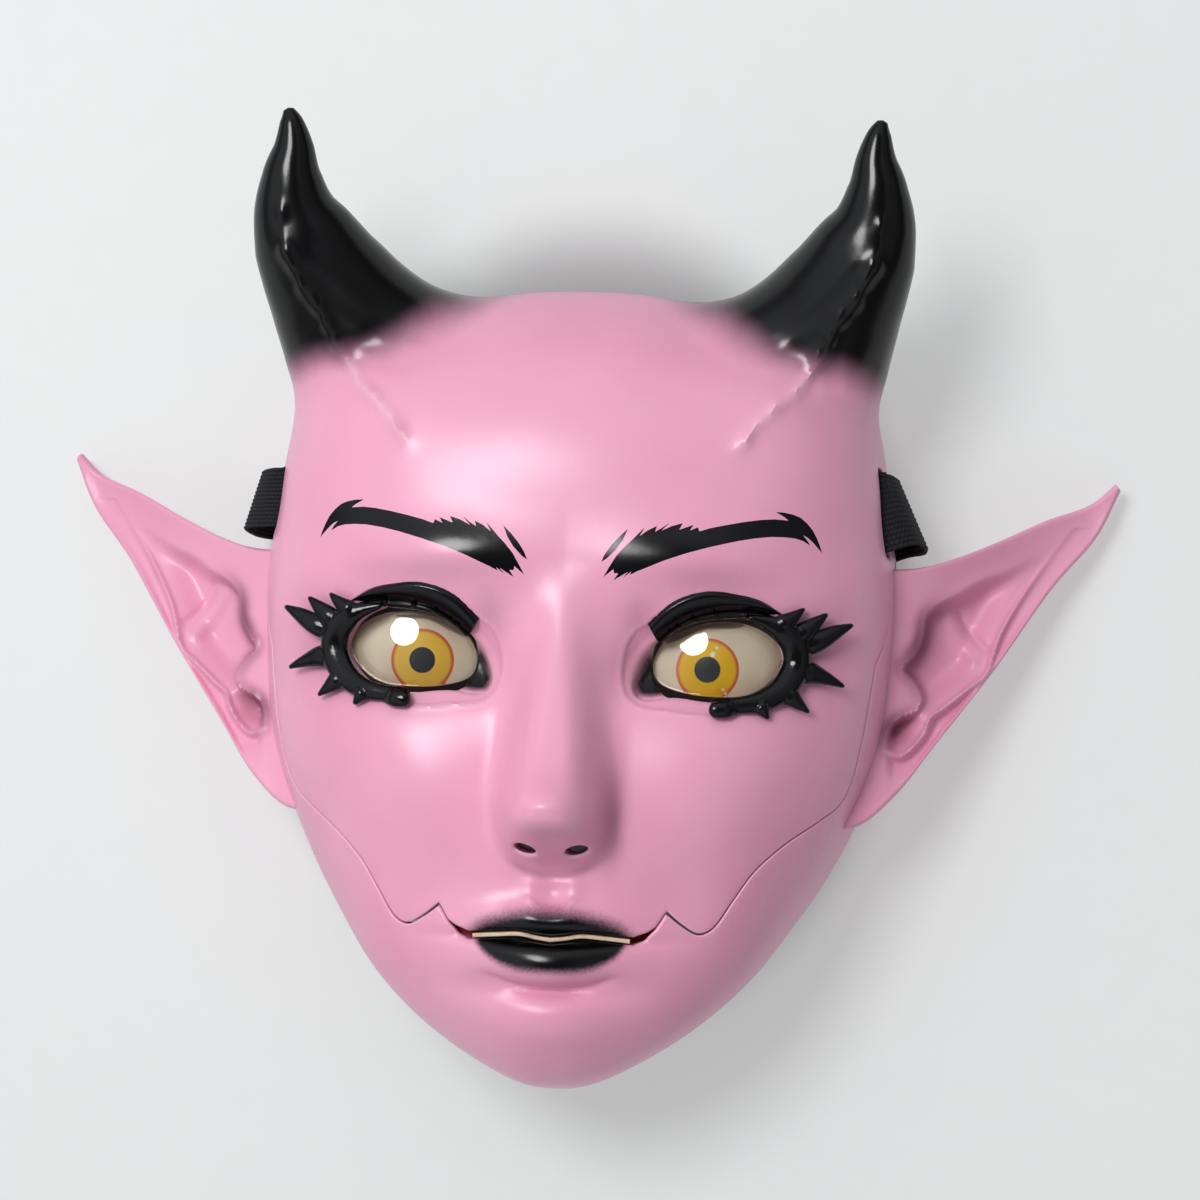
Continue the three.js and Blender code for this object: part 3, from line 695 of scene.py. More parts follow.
# Soft folds beside the crest: middle, direction, half length and height
WRINKLES = [
    (60, 66.5, 0.35, 7, 0.8), (50, 70.5, 0.15, 8, 0.7), (57, 61, 0.2, 6, 0.7),
    (68, 61.5, 1.25, 5, -0.8), (43, 75, 0.5, 6, 0.5), (72, 90, 0.75, 8, 0.7), (66, 84, 0.6, 8, 0.6),
    (64, 76, 0.45, 8, 0.8), (77, 64, 1.5, 5, 0.6), (54, 64.5, 0.3, 6, -0.5),
]
CREST_BEADS = [
    (85.8, 106), (84.2, 95.5), (82, 91.3), (79.4, 86.4), (75, 80), (72.5, 76), (69, 69.5), (57.6, 54.1),
    (49.5, 44.5),
]
brow_edge, stroke_edge = even(BROW, 0.45, closed=True), even(BROW_STROKE, 0.45, closed=True)
socket_edge = even(spline(SOCKET, 10, closed=True), 0.9, closed=True)
pocket_edge = even(spline(SOCKET_POCKET, 10, closed=True), 0.9, closed=True)
fade_line, crest_line = even(spline(HORN_FADE, 6), 2.0), even(spline(HORN_CREST, 8), 1.0)


def right_side(p):
    return np.stack([np.abs(p[:, 0]), p[:, 1]], axis=1)


def near_box(flat, loop, margin):
    low, high = loop.min(axis=0) - margin, loop.max(axis=0) + margin
    return np.all((flat > low) & (flat < high), axis=1)


def signed_near(flat, loop, margin=4.0):
    """Signed distance to a closed line, cut off at a margin."""
    out = np.full(len(flat), margin)
    near = near_box(flat, loop, margin)
    out[near] = signed_distance(flat[near], loop)
    return np.clip(out, -margin, margin)


def near_line(flat, line, margin):
    """Distance to an open line, and the place along it, cut off at a margin."""
    far, along = np.full(len(flat), margin), np.zeros(len(flat))
    near = near_box(flat, line, margin)
    far[near], along[near] = line_distance(flat[near], line)
    return np.minimum(far, margin), along


def relief(p):
    """Fine raised and sunk forms of the outside, on top of the large ones."""
    flat = right_side(p)
    s, y = flat[:, 0], flat[:, 1]
    socket, pocket = signed_near(flat, socket_edge, 8.0), signed_near(flat, pocket_edge, 8.0)
    lift = -0.55 * ease(clamp(-socket / 0.7)) - 0.9 * ease(clamp(-socket / 5.5)) + 0.22 * bell(socket, 0.8)
    lift -= 3.6 * ease(clamp(-pocket / 2.6)) - 0.25 * bell(pocket - 0.5, 0.6)
    crest, along = near_line(flat, crest_line, 9.0)
    high = ease((p[:, 2] - 44) / 8)
    on_horn = ease((along - 27) / 14) * (1 - ease((along - 66) / 10))
    vein = ease((along - 66) / 8) * (1 - ease((along - 100) / 10))
    wave = 0.6 * np.sin(along * 0.45) + 0.35 * np.sin(along * 1.1 + 1)
    lift += high * on_horn * (0.9 * bell(crest + wave, 2.0) + 1.1 * bell(crest, 5.5))
    lift += high * vein * (0.95 * bell(crest, 1.15) + 0.5 * bell(crest, 3.6))
    for bx, by in CREST_BEADS:
        lift += 0.8 * bump(s, y, bx, by, 1.6, 2.3) * high
    for wx, wy, turn, long, size in WRINKLES:
        u = (s - wx) * math.cos(turn) + (y - wy) * math.sin(turn)
        v = (y - wy) * math.cos(turn) - (s - wx) * math.sin(turn)
        lift += 0.5 * size * bump(u, v, 0, 0, long, 2.0) * high
    philtrum_rim = np.hypot(s / 1.15, y + 84.2) - 6.2
    chin_fold = np.hypot(s / 2.1, y + 103.5) - 9.6
    lift += 0.45 * bell(philtrum_rim, 0.8) * (y < -86.5)
    lift -= 0.9 * bell(chin_fold, 1.1) * ease((-107 - y) / 3)
    return lift + forms(s, y, FINE_FORMS) + 0.7 * bump(p[:, 0], y, -1, -60.5, 6, 5)


def paint_marks(p):
    """Numbers for the paint: horn and lip black, painted shade in sockets and by the nose, painted
    highlights.
    """
    flat = right_side(p)
    s, y = flat[:, 0], flat[:, 1]
    far, _ = line_distance(flat, fade_line)
    above = y > np.interp(s, fade_line[:, 0], fade_line[:, 1])
    fade = np.where(above, far, -far) / (8.0 + 4.5 * clamp((66 - s) / 22))
    top = -87.0 - 6.0 * (s / 25) ** 2
    upper = clamp((top - y) / 7.4) * (1 - ease((s - 18) / 11)) * (y > LIPS_MEET)
    low = -108.0 + 5.6 * (s / 19.5) ** 3
    lower = clamp((y - low) / 4.2 + 0.35) * (1 - ease((s - 18) / 7.5)) * (y <= LIPS_MEET)
    socket, pocket = signed_near(flat, socket_edge, 8.0), signed_near(flat, pocket_edge, 8.0)
    # Painted shade: black deep in each eye pocket beside the lens, softer shade above the lid and by the
    # inner corner.
    well = clamp(-pocket / 1.7) * (0.35 + 0.65 * ease((-14.5 - y) / 5)) * (1 - 0.3 * ease((s - 32) / 12))
    socket_shade = (0.16 * bump(s, y, 38, 4.5, 18, 4) + 0.22 * bump(s, y, 21, -8, 5, 7)) * (socket > 0)
    # Painted highlights along the rims of the pocket and the socket.
    line = (0.75 * bell(pocket - 0.1, 0.4) + 0.35 * bell(socket - 0.1, 0.35)) * (s < 46) * (y < -8)
    crest, along = near_line(flat, crest_line, 9.0)
    # Painted highlight along the raised vein of the horn.
    vein = 0.6 * ease((along - 70) / 8) * (1 - ease((along - 99) / 9)) * bell(crest, 0.9) * (p[:, 2] > 60)
    # Painted shade on the right side of the nose and along the fold under its tip.
    shade = 0.42 * bump(s, y, 16.5, -62, 3.2, 13) * (p[:, 0] > 0)
    shade += 0.34 * bell(y + 80.6 - 0.024 * s**2, 1.2) * (1 - ease((s - 8) / 7))
    return {"horn_fade": fade, "lips": np.maximum(upper, lower), "recess": np.maximum(well, socket_shade),
            "line": np.maximum(line, vein), "shade": shade}


horn_loop, horn_right = horn_rings()


# Steps of the grids, coarse and fine, the reach of the fine one, and marks of the bare inner skin
SKIN_GRID, BACK_GRID, DETAIL_REACH = (1.75, 0.95), (3.4, 0), 125
EDGE_REACH = 4.0
# Rounding of the holes in pairs: eyes, nostrils, slots and horn roots
HOLE_ROUNDING = (0.6, 0.6, 0.8, 0.8, 0.7, 0.7, 0, 0)
BARE_MARKS = {"horn_fade": -4.0, "edge": EDGE_REACH, "inside": 1.0}


def wants_detail(p):
    s, y = np.abs(p[:, 0]), p[:, 1]
    nose = (s < 24) & (y > -84) & (y < -42)
    mouth = (s < 36) & (y > -122) & (y <= -84)
    eye = (s > 12) & (s < 74) & (y > -42) & (y < 4)
    brow = (s > 9) & (s < 75) & (y >= 1) & (y < 27)
    return (nose | mouth | eye | brow) & (p[:, 2] > 30)


def between(points, loops):
    """Which points lie inside the first loop and outside the others."""
    keep = inside_loop(points, loops[0])
    for loop in loops[1:]:
        keep &= ~inside_loop(points, loop)
    return keep


def inner_points(loops, coarse, fine, lines=()):
    """Grid points between the loops, closer where the surface has detail, and clear of the lines."""
    low, high = loops[0].min(axis=0), loops[0].max(axis=0)
    points = honeycomb(*low, *high, coarse)
    if fine:
        wide = points[~wants_detail(chart_to_skin(points))]
        close = honeycomb(*np.maximum(low, -DETAIL_REACH), *np.minimum(high, DETAIL_REACH), fine)
        close = close[wants_detail(chart_to_skin(close))]
        for line in lines:
            tree = tree_of(line)
            beside = near_box(close, line, 1)
            gap = np.array([tree.find((*q, 0))[2] if b else 9 for q, b in zip(close.tolist(), beside)])
            close = close[gap > 0.55 * fine]
        points = np.concatenate([close, wide])
    points = points[between(points, loops)]
    far, _ = nearest_edge(points, loops)
    limit = np.where(wants_detail(chart_to_skin(points)), 0.6 * (fine or coarse), 0.6 * coarse)
    return points[far > limit]


def edge_guides(loops, rounding):
    """Rows of points beside the edges, where their rounding starts, bends and ends."""
    guides = []
    for loop, radius in zip(loops, rounding):
        if radius.max() > 0:
            along = unit(np.roll(loop, -1, axis=0) - np.roll(loop, 1, axis=0))
            side = np.stack([-along[:, 1], along[:, 0]], axis=1)
            for share in (0.12, 0.45, 1.0):
                for sign in (-1, 1):
                    row = loop + sign * (share * radius)[:, None] * side
                    far, _ = nearest_edge(row, loops)
                    guides.append(row[far > 0.92 * share * radius])
    guides = np.concatenate(guides)
    return guides[between(guides, loops)]


def rounded_top(flat, loops, radii):
    """Outer skin with its relief, rounded down at its edges, and how far each point is from them."""
    top = chart_to_skin(flat)
    normal = skin_normal(flat)
    top = top + normal * relief(top)[:, None]
    far, near = nearest_edge(flat, loops)
    r = radii[near]
    drop = r - np.sqrt(np.maximum(r**2 - (r - np.minimum(far, r)) ** 2, 0))
    return top - normal * drop[:, None], np.where(r > 0, np.minimum(far, EDGE_REACH), EDGE_REACH)


def back_skin(flat):
    """Inner skin, one wall behind the outer one and further behind the eye pockets."""
    back = chart_to_skin(flat, inside=True)
    under_pocket = POCKET_DEPTH * ease((2.5 - signed_near(right_side(back), pocket_edge, 8.0)) / 3)
    back -= (WALL + under_pocket)[:, None] * skin_normal(flat, inside=True)
    rim = profile(np.arctan2(flat[:, 0], flat[:, 1]))[1]
    back[:, 2] = np.maximum(back[:, 2], rim)
    return back


class Shell:
    """Points with their marks, and faces, of one shell while it grows."""

    def __init__(self):
        self.points, self.marks, self.faces = [], [], []
        self.total = 0

    def add(self, points, marks):
        """Adds points and gives back their numbers."""
        self.points.append(points)
        self.marks.append(marks)
        self.total += len(points)
        return np.arange(self.total - len(points), self.total)

    def add_painted(self, points, inside):
        """Adds points away from an edge, with how far inside the shell they lie, from 0 to 1."""
        marks = paint_marks(points)
        marks["edge"] = np.full(len(points), EDGE_REACH)
        marks["inside"] = np.full(len(points), inside)
        return self.add(points, marks)

    def add_horn(self, rings, tip, outer, inner):
        """Horn on the edge of the outer skin, and its hollow on the edge of the inner one."""
        hollow = rings[4:-24:6]
        out = hollow - hollow.mean(axis=1, keepdims=True)
        hollow = hollow - out / np.linalg.norm(out, axis=2, keepdims=True) * WALL
        cap = hollow[-1:].mean(axis=1)
        for edge, rows, end, inside in ((outer, rings[1:], tip, 0.0), (inner, hollow, cap, 1.0)):
            ids = self.add_painted(rows.reshape(-1, 3), inside).reshape(-1, len(edge))
            ids = np.concatenate([edge[None], ids])
            self.faces.append(quads(ids))
            self.faces.append(fan(ids[-1], self.add_painted(end, inside)[0]))

    def add_wall(self, top, back, outer, inner, well):
        """Wall between the edges of the two skins, with a seat for the eye where there is a well."""
        rings = [outer]
        if well:
            wall = top.copy()
            wall[:, 2] = np.minimum(eye_well(wall), wall[:, 2] - 1.0)
            seat = wall.copy()
            seat[:, :2] += unit(back[:, :2] - wall[:, :2]) * SEAT_WIDTH
            rings += [self.add_painted(wall, 0.4), self.add_painted(seat, 0.8)]
        rings.append(inner)
        self.faces.append(quads(np.array(rings)))


def build_shell(name, loops, back_loops, rounding, wells, horns, lines, body, node):
    """Shell between its outer and inner skin: rounded outer edges, walls, and horns on their roots."""
    points = np.concatenate([edge_guides(loops, rounding), inner_points(loops, *SKIN_GRID, lines)])
    flat, out_faces, place = net(loops, points, lines)
    middle = flat[out_faces].mean(axis=1)
    brow = np.zeros(len(middle))
    for line in lines:
        near = near_box(middle, line, 0)
        brow[near] = np.maximum(brow[near], inside_loop(middle[near], line))
    top, edge = rounded_top(flat, loops, np.concatenate(rounding))
    marks = paint_marks(top)
    marks["edge"], marks["inside"] = edge, np.zeros(len(top))
    shell = Shell()
    shell.add(top, marks)
    shell.faces.append(out_faces)

    back_flat, back_faces, back_place = net(back_loops, inner_points(back_loops, *BACK_GRID))
    back = back_skin(back_flat)
    back_ids = shell.add(back, {key: np.full(len(back), BARE_MARKS.get(key, 0.0)) for key in marks})
    shell.faces.append(back_faces[:, ::-1] + back_ids[0])
    start = 0
    for k, loop in enumerate(loops):
        stop = start + len(loop)
        outer, back_edge = place[start:stop], back_place[start:stop]
        start = stop
        if k in horns:
            shell.add_horn(*horns[k], outer, back_ids[back_edge])
        else:
            shell.add_wall(top[outer], back[back_edge], outer, back_ids[back_edge], k in wells)
    faces = [face for group in shell.faces for face in group.tolist()]
    every_mark = {key: np.concatenate([part[key] for part in shell.marks]) for key in marks}
    brow = np.concatenate([brow, np.zeros(len(faces) - len(brow))])
    make(name, np.concatenate(shell.points), faces, shell_paint, body, [node], "painted_skin", every_mark,
         {"brow": brow})


# Materials
def new_material(name):
    material = bpy.data.materials.new(name)
    material.use_nodes = True
    tree = material.node_tree
    return material, tree, tree.nodes["Principled BSDF"]


def add(tree, kind, inputs=None, **settings):
    node = tree.nodes.new("ShaderNode" + kind)
    for key, value in settings.items():
        setattr(node, key, value)
    for key, value in (inputs or {}).items():
        if isinstance(value, bpy.types.NodeSocket):
            tree.links.new(value, node.inputs[key])
        else:
            node.inputs[key].default_value = value
    return node


def mark(tree, name):
    return add(tree, "Attribute", attribute_name=name).outputs["Fac"]


def maths(tree, operation, a, b=0.0):
    return add(tree, "Math", {0: a, 1: b}, operation=operation).outputs[0]


def span(tree, value, low, high, to_low=0.0, to_high=1.0):
    """Smooth change from one number to another as a value crosses a range."""
    inputs = {0: value, 1: low, 2: high, 3: to_low, 4: to_high}
    return add(tree, "MapRange", inputs, interpolation_type="SMOOTHSTEP").outputs[0]


def blend_colour(tree, share, a, b):
    node = add(tree, "Mix", {0: share, 6: a, 7: b}, data_type="RGBA")
    return node.outputs[2]


def spot(tree, scale=(1, 1, 1)):
    coordinates = add(tree, "TexCoord").outputs["Object"]
    return add(tree, "Mapping", {"Vector": coordinates, "Scale": scale}).outputs[0]


def noise(tree, vector, scale, detail=3.0, distortion=0.0):
    inputs = {"Vector": vector, "Scale": scale, "Detail": detail, "Distortion": distortion}
    return add(tree, "TexNoise", inputs).outputs["Fac"]


def linear(level):
    return level / 255 / 12.92 if level <= 10 else ((level / 255 + 0.055) / 1.055) ** 2.4


def colour(r, g, b):
    """Linear colour from the usual 0 to 255 levels."""
    return linear(r), linear(g), linear(b), 1


def set_bump(tree, shader, height, strength, distance):
    bumped = add(tree, "Bump", {"Height": height, "Strength": strength, "Distance": distance})
    tree.links.new(bumped.outputs[0], shader.inputs["Normal"])


PINK, PINK_DEEP = colour(236, 172, 196), colour(229, 162, 188)
BLACK_PAINT_AND_SHADE = colour(6, 6, 9)
RAW_PLASTIC = colour(186, 142, 152)
HIGHLIGHT_PINK = colour(240, 196, 210)
SHADE_PINK = colour(120, 62, 84)


def skin_paint(name, marked):
    """Varnished pink paint with airbrushed and painted black, painted shade and highlights; a bare pale
    inside.
    """
    material, tree, shader = new_material(name)
    at = spot(tree)
    cloud = noise(tree, at, 14.0, 4.0)
    speck = noise(tree, at, 1100.0, 2.0)
    base = blend_colour(tree, span(tree, cloud, 0.35, 0.68), PINK, PINK_DEEP)
    base = blend_colour(tree, span(tree, speck, 0.56, 0.8, 0, 0.12), base, colour(240, 190, 208))
    rough = span(tree, cloud, 0.3, 0.7, 0.29, 0.35)
    # Painted shade beside the nose and under the edges of the ears' hollows.
    base = blend_colour(tree, mark(tree, "shade"), base, SHADE_PINK)
    if marked:
        streak = noise(tree, spot(tree, (60, 20, 20)), 1.0, 4.0, 0.4)
        speckle = maths(tree, "MULTIPLY", maths(tree, "SUBTRACT", speck, 0.5), 0.7)
        brow = mark(tree, "brow")
        shift = maths(tree, "MULTIPLY", maths(tree, "SUBTRACT", streak, 0.5), 0.5)
        horn = span(tree, maths(tree, "ADD", mark(tree, "horn_fade"), shift), -0.8, 0.75)
        lips = maths(tree, "ADD", mark(tree, "lips"), maths(tree, "MULTIPLY", speckle, 0.35))
        lips = span(tree, lips, 0.05, 0.85)
        # Painted shade in and around the eye sockets, darkened like the black paint.
        recess = maths(tree, "ADD", mark(tree, "recess"), maths(tree, "MULTIPLY", speckle, 0.1))
        gloss = maths(tree, "MAXIMUM", maths(tree, "MAXIMUM", brow, horn), lips)
        dark = maths(tree, "MAXIMUM", gloss, recess)
        base = blend_colour(tree, dark, base, BLACK_PAINT_AND_SHADE)
        # Painted highlight along the rounded edges of the shell.
        pale = span(tree, mark(tree, "edge"), 0.15, 0.6, 0.45, 0)
        pale = maths(tree, "MULTIPLY", pale, maths(tree, "SUBTRACT", 1.0, dark))
        base = blend_colour(tree, pale, base, HIGHLIGHT_PINK)
        rough = maths(tree, "SUBTRACT", rough, maths(tree, "MULTIPLY", gloss, 0.11))
    # Painted highlights along the socket rims, the horn's vein and the fold of each ear.
    base = blend_colour(tree, mark(tree, "line"), base, HIGHLIGHT_PINK)
    if marked:
        base = blend_colour(tree, span(tree, mark(tree, "inside"), 0.4, 0.6), base, RAW_PLASTIC)
        rough = maths(tree, "ADD", rough, span(tree, mark(tree, "inside"), 0.4, 0.6, 0, 0.25))
    tree.links.new(base, shader.inputs["Base Color"])
    tree.links.new(rough, shader.inputs["Roughness"])
    shader.inputs["Specular IOR Level"].default_value = 0.44
    set_bump(tree, shader, noise(tree, at, 420.0, 3.0), 0.05, 0.0004)
    return material


shell_paint = skin_paint("varnished_pink", marked=True)


def eye_well(p):
    """Height of the eye socket's floor, where the clear dome starts."""
    s = np.abs(p[:, 0])
    return EYE_Z - ((s - EYE_X) ** 2 + (p[:, 1] - EYE_Y) ** 2) / (2 * EYE_RADIUS) - 0.3


def flip(loop):
    return loop * (-1, 1)


def wider(loop, by):
    middle = loop.mean(axis=0)
    out = unit(loop - middle)
    return loop + by * out


def edge_radii(half, lips, rim_from):
    """Rounding at each point of a shell's outline: lips, seam and rim."""
    r = np.full(len(half), 0.45)
    r[:lips] = 0.8
    r[rim_from:] = 1.1
    return np.concatenate([r[:-1], r[:0:-1]])


face_loops = [face_loop]
for hole in (eye_loop, nostril_loop, slot_loop, horn_loop):
    face_loops += [hole, flip(hole)]
face_back = [face_loop, wider(eye_loop, SEAT_WIDTH), flip(wider(eye_loop, SEAT_WIDTH))] + face_loops[3:]
face_rounding = [edge_radii(face_half, face_lips, len(face_seam))]
face_rounding += [np.full(len(loop), r) for loop, r in zip(face_loops[1:], HOLE_ROUNDING)]
jaw_rounding = [edge_radii(jaw_half, jaw_lips, len(jaw_seam))]
brow_chart = [to_chart(*edge.T) for edge in (brow_edge, stroke_edge)]
brow_lines = [line * side for line in brow_chart for side in ((1, 1), (-1, 1))]
horn_tip = horn_axis[-1:]
# Places of the eyes and horns among the loops of the face
eyes = (1, 2)
horns = {7: (horn_right, horn_tip), 8: (mirrored(horn_right), mirrored(horn_tip))}
build_shell("face", face_loops, face_back, face_rounding, eyes, horns, brow_lines, "face", "face_shell")
build_shell("jaw", [jaw_loop], [jaw_loop], jaw_rounding, (), {}, [], "jaw", "jaw_shell")


# Ears
EAR_TOP = [
    (80, 13.6, 46), (92, 12.6, 41.5), (100.5, 13.6, 37.5), (110.5, 17, 32), (122.8, 22.7, 25),
    (138.3, 30.8, 17.5), (151.6, 36.6, 11.5), (159, 43.2, 8.5),
]
EAR_LOW = [
    (70, -65, 52), (84, -63.6, 47), (95, -54.3, 43), (107, -38, 35.5), (123.4, -15.6, 26),
    (140.5, 10.3, 17.5), (153.7, 26.8, 11.5), (160.6, 41, 8.5),
]
CONCHA_EDGE = [
    (146, 29), (136, 21), (126.3, 14.9), (117.5, 11.0), (112.2, 7.1), (106.0, 3.3), (102.6, -0.5),
    (101.3, -8.0), (98.2, -13.5), (96.0, -16.5), (99.2, -20.2), (102.0, -25.0), (100.4, -28.6),
    (95.4, -31.5), (92.2, -35.6), (91.6, -41.0),
]
EAR_FOLD = [
    (146, 29), (137.5, 16.5), (131.0, 6.5), (125.3, -4.2), (123.3, -10.2), (121.2, -17.1),
    (115.8, -21.6), (108.7, -27.6), (105.1, -30.5), (103.6, -34.5), (100.5, -39.0), (96.0, -42.5),
    (91.6, -41.0),
]
EAR_CREASE = [(112.8, 2.6), (114.3, -1.2), (118.3, -6.5), (121, -9.2)]
EAR_RIDGE = [(109, 1.5), (111.5, -3.5), (114.6, -8.5), (116.5, -13)]
EAR_ALONG, EAR_ACROSS = 190, 104
# Depth of the hollow at the tip and how much deeper it is at the root, thickness of edge and tip
EAR_SHALLOW, EAR_DEEPER = 1.2, 7.0
EAR_HALF_THICK, EAR_TIP_MORE = 1.5, 1.2


def ear_relief(x, y):
    """Depth of the ear's hollows below its plain face."""
    flat = np.stack([x, y], axis=1)
    lines = [even(spline(line, 6), 1.0) for line in (CONCHA_EDGE, EAR_FOLD, EAR_CREASE, EAR_RIDGE)]
    edge, fold, crease, ridge = (line_distance(flat, line)[0] for line in lines)
    inside = inside_loop(flat, np.concatenate([lines[0], lines[1][-2:0:-1]]))
    below = [(60, -41), (60, -90), (190, -90), (190, 29)]
    outer = ~inside & inside_loop(flat, np.concatenate([lines[1], below]))
    fade = 1 - ease((x - 108) / 34)
    deep = EAR_SHALLOW + EAR_DEEPER * fade
    wall = 0.9 + 2.2 * ease((x - 104) / 14)
    hollow = deep * (1 - bell(edge, wall)) * (0.15 + 0.85 * ease(fold / 10)) * ease(fold / 1.2)
    hollow -= 1.8 * bell(ridge, 3.0) * ease(edge / 5) * ease(fold / 5)
    hollow += 0.8 * bell(crease, 1.1) * ease(fold / 2)
    hollow += 2.2 * bump(x, y, 96.5, -36, 4.0, 3.2) - 1.6 * bump(x, y, 102.5, -29.5, 3.2, 3.0)
    groove = (0.5 + 3.0 * fade) * (1 - np.exp(-((fold / 1.2) ** 1.6))) * bell(fold, 5.0)
    root = ease((x - 92.5) / 4)
    crest = -0.9 * bell(fold, 1.1) * (1 - ease((x - 122) / 22)) * root
    lip = -0.7 * bell(edge, 2.0) * fade * root
    sunk = np.where(inside, hollow, np.where(outer, groove, 0.0))
    return sunk * ease((x - 91.8) / 3) + crest + np.where(outer, 0, lip)


def ear_marks(p):
    """Painted shade under the edge of the hollow, and a painted highlight along the crest of the fold."""
    flat = right_side(p)
    edge, fold = (line_distance(flat, even(spline(line, 6), 1.0))[0] for line in (CONCHA_EDGE, EAR_FOLD))
    deep = bump(flat[:, 0], flat[:, 1], 101, -9, 9, 14) + bump(flat[:, 0], flat[:, 1], 95, -35, 6, 7)
    crest = 0.4 * bell(fold, 0.6) * (1 - ease((flat[:, 0] - 112) / 20))
    return {"shade": 0.85 * clamp(deep) * bell(edge - 1.0, 2.0), "line": crest}


def ear_points():
    """Rings of points along the ear, its root sunk just under the skin of the shell."""
    u = np.linspace(0, 1, EAR_ALONG) ** 0.92
    v = 0.5 - 0.5 * np.cos(np.linspace(0, math.pi, EAR_ACROSS))
    v = 0.55 * v + 0.45 * np.linspace(0, 1, EAR_ACROSS)
    curves = [spline(line, 24) for line in (EAR_TOP, EAR_LOW)]
    top, low = (sampled(curve, u * (len(curve) - 1)) for curve in curves)
    p = top[:, None] + (low - top)[:, None] * v[None, :, None]
    width = np.linalg.norm(low - top, axis=1)[:, None]
    side = np.minimum(v, 1 - v)[None] * width
    flat = p.reshape(-1, 3)
    deep = ear_relief(flat[:, 0], flat[:, 1]).reshape(p.shape[:2]) * ease(side / 3.5)
    long_way = 1 - ease((u - 0.6) / 0.4)[:, None]
    sag = 2.4 * np.sin(math.pi * v)[None] ** 0.8 * long_way
    half_thick = EAR_HALF_THICK + EAR_TIP_MORE * ease((u - 0.82) / 0.12)[:, None]
    round_edge = half_thick * np.sqrt(clamp(1 - (1 - clamp(side / 1.8)) ** 2))
    front_side, back_side = p.copy(), p.copy()
    front_side[..., 2] += -sag - deep - EAR_HALF_THICK + round_edge
    back_hollow = 0.8 * deep * ease(side / 8) + 0.5 * ease(side / 4)
    back_side[..., 2] -= sag + back_hollow + EAR_HALF_THICK + round_edge
    rings = np.concatenate([front_side, back_side[:, -2:0:-1]], axis=1)
    flat = rings.reshape(-1, 3)
    buried = dome_distance(flat) < -0.9
    for _ in range(14):
        d = dome_distance(flat[buried])
        slope = slope_of(dome_distance, flat[buried], d)
        flat[buried] -= np.clip(d + 0.9, -3, 3)[:, None] * unit(slope)
    return flat.reshape(rings.shape)


ear_paint = skin_paint("varnished_ears", marked=False)
ear_rings = ear_points()
ear_mesh = tube(ear_rings)
pair("ear", *ear_mesh, ear_paint, "jaw", "ear", "painted_skin", marks=ear_marks(ear_mesh[0]))


# Clear domes and printed eyes
PLATE_LEVELS = 22
# Painted glints on the right iris: place from the iris centre and size.
EYE_GLINTS = [(2.5, 6.2, 0.45), (1.4, 4.3, 0.7), (4.6, -5.4, 0.4), (5.3, -6.4, 0.4)]


def bowl(x, y, drop=0.0):
    return EYE_Z - drop - ((x - EYE_X) ** 2 + (y - EYE_Y) ** 2) / (2 * EYE_RADIUS)


def bowl_plate(shrink, top, thick):
    """Curved plate that fills the eye opening, with a rounded edge."""
    out = eye_front - (EYE_X, EYE_Y)
    size = np.linalg.norm(out, axis=1, keepdims=True)
    half = thick / 2
    corner = [(-half * (1 - math.cos(a)), half * (1 - math.sin(a))) for a in np.linspace(0, math.pi / 2, 4)]
    shares = [1 - (i / PLATE_LEVELS) ** 0.9 for i in range(1, PLATE_LEVELS)]
    rings = [(share, -half, 0.0) for share in reversed(shares)]
    rings += [(1.0, edge, drop) for edge, drop in reversed(corner)]
    rings += [(1.0, edge, thick - drop) for edge, drop in corner[1:]]
    rings += [(share, -half, thick) for share in shares]
    made = []
    for share, edge, drop in rings:
        flat = (EYE_X, EYE_Y) + out / size * (size - shrink + edge) * share
        made.append(np.column_stack([flat, bowl(flat[:, 0], flat[:, 1], top + drop)]))
    return tube(np.array(made))


def clear_material():
    """Clear plastic with hardly any waviness."""
    material, tree, shader = new_material("clear_plastic")
    shader.inputs["Base Color"].default_value = (0.97, 0.98, 0.96, 1)
    shader.inputs["Transmission Weight"].default_value = 1.0
    shader.inputs["Roughness"].default_value = 0.02
    shader.inputs["IOR"].default_value = 1.49
    set_bump(tree, shader, noise(tree, spot(tree), 60.0, 2.0), 0.02, 0.0004)
    return material


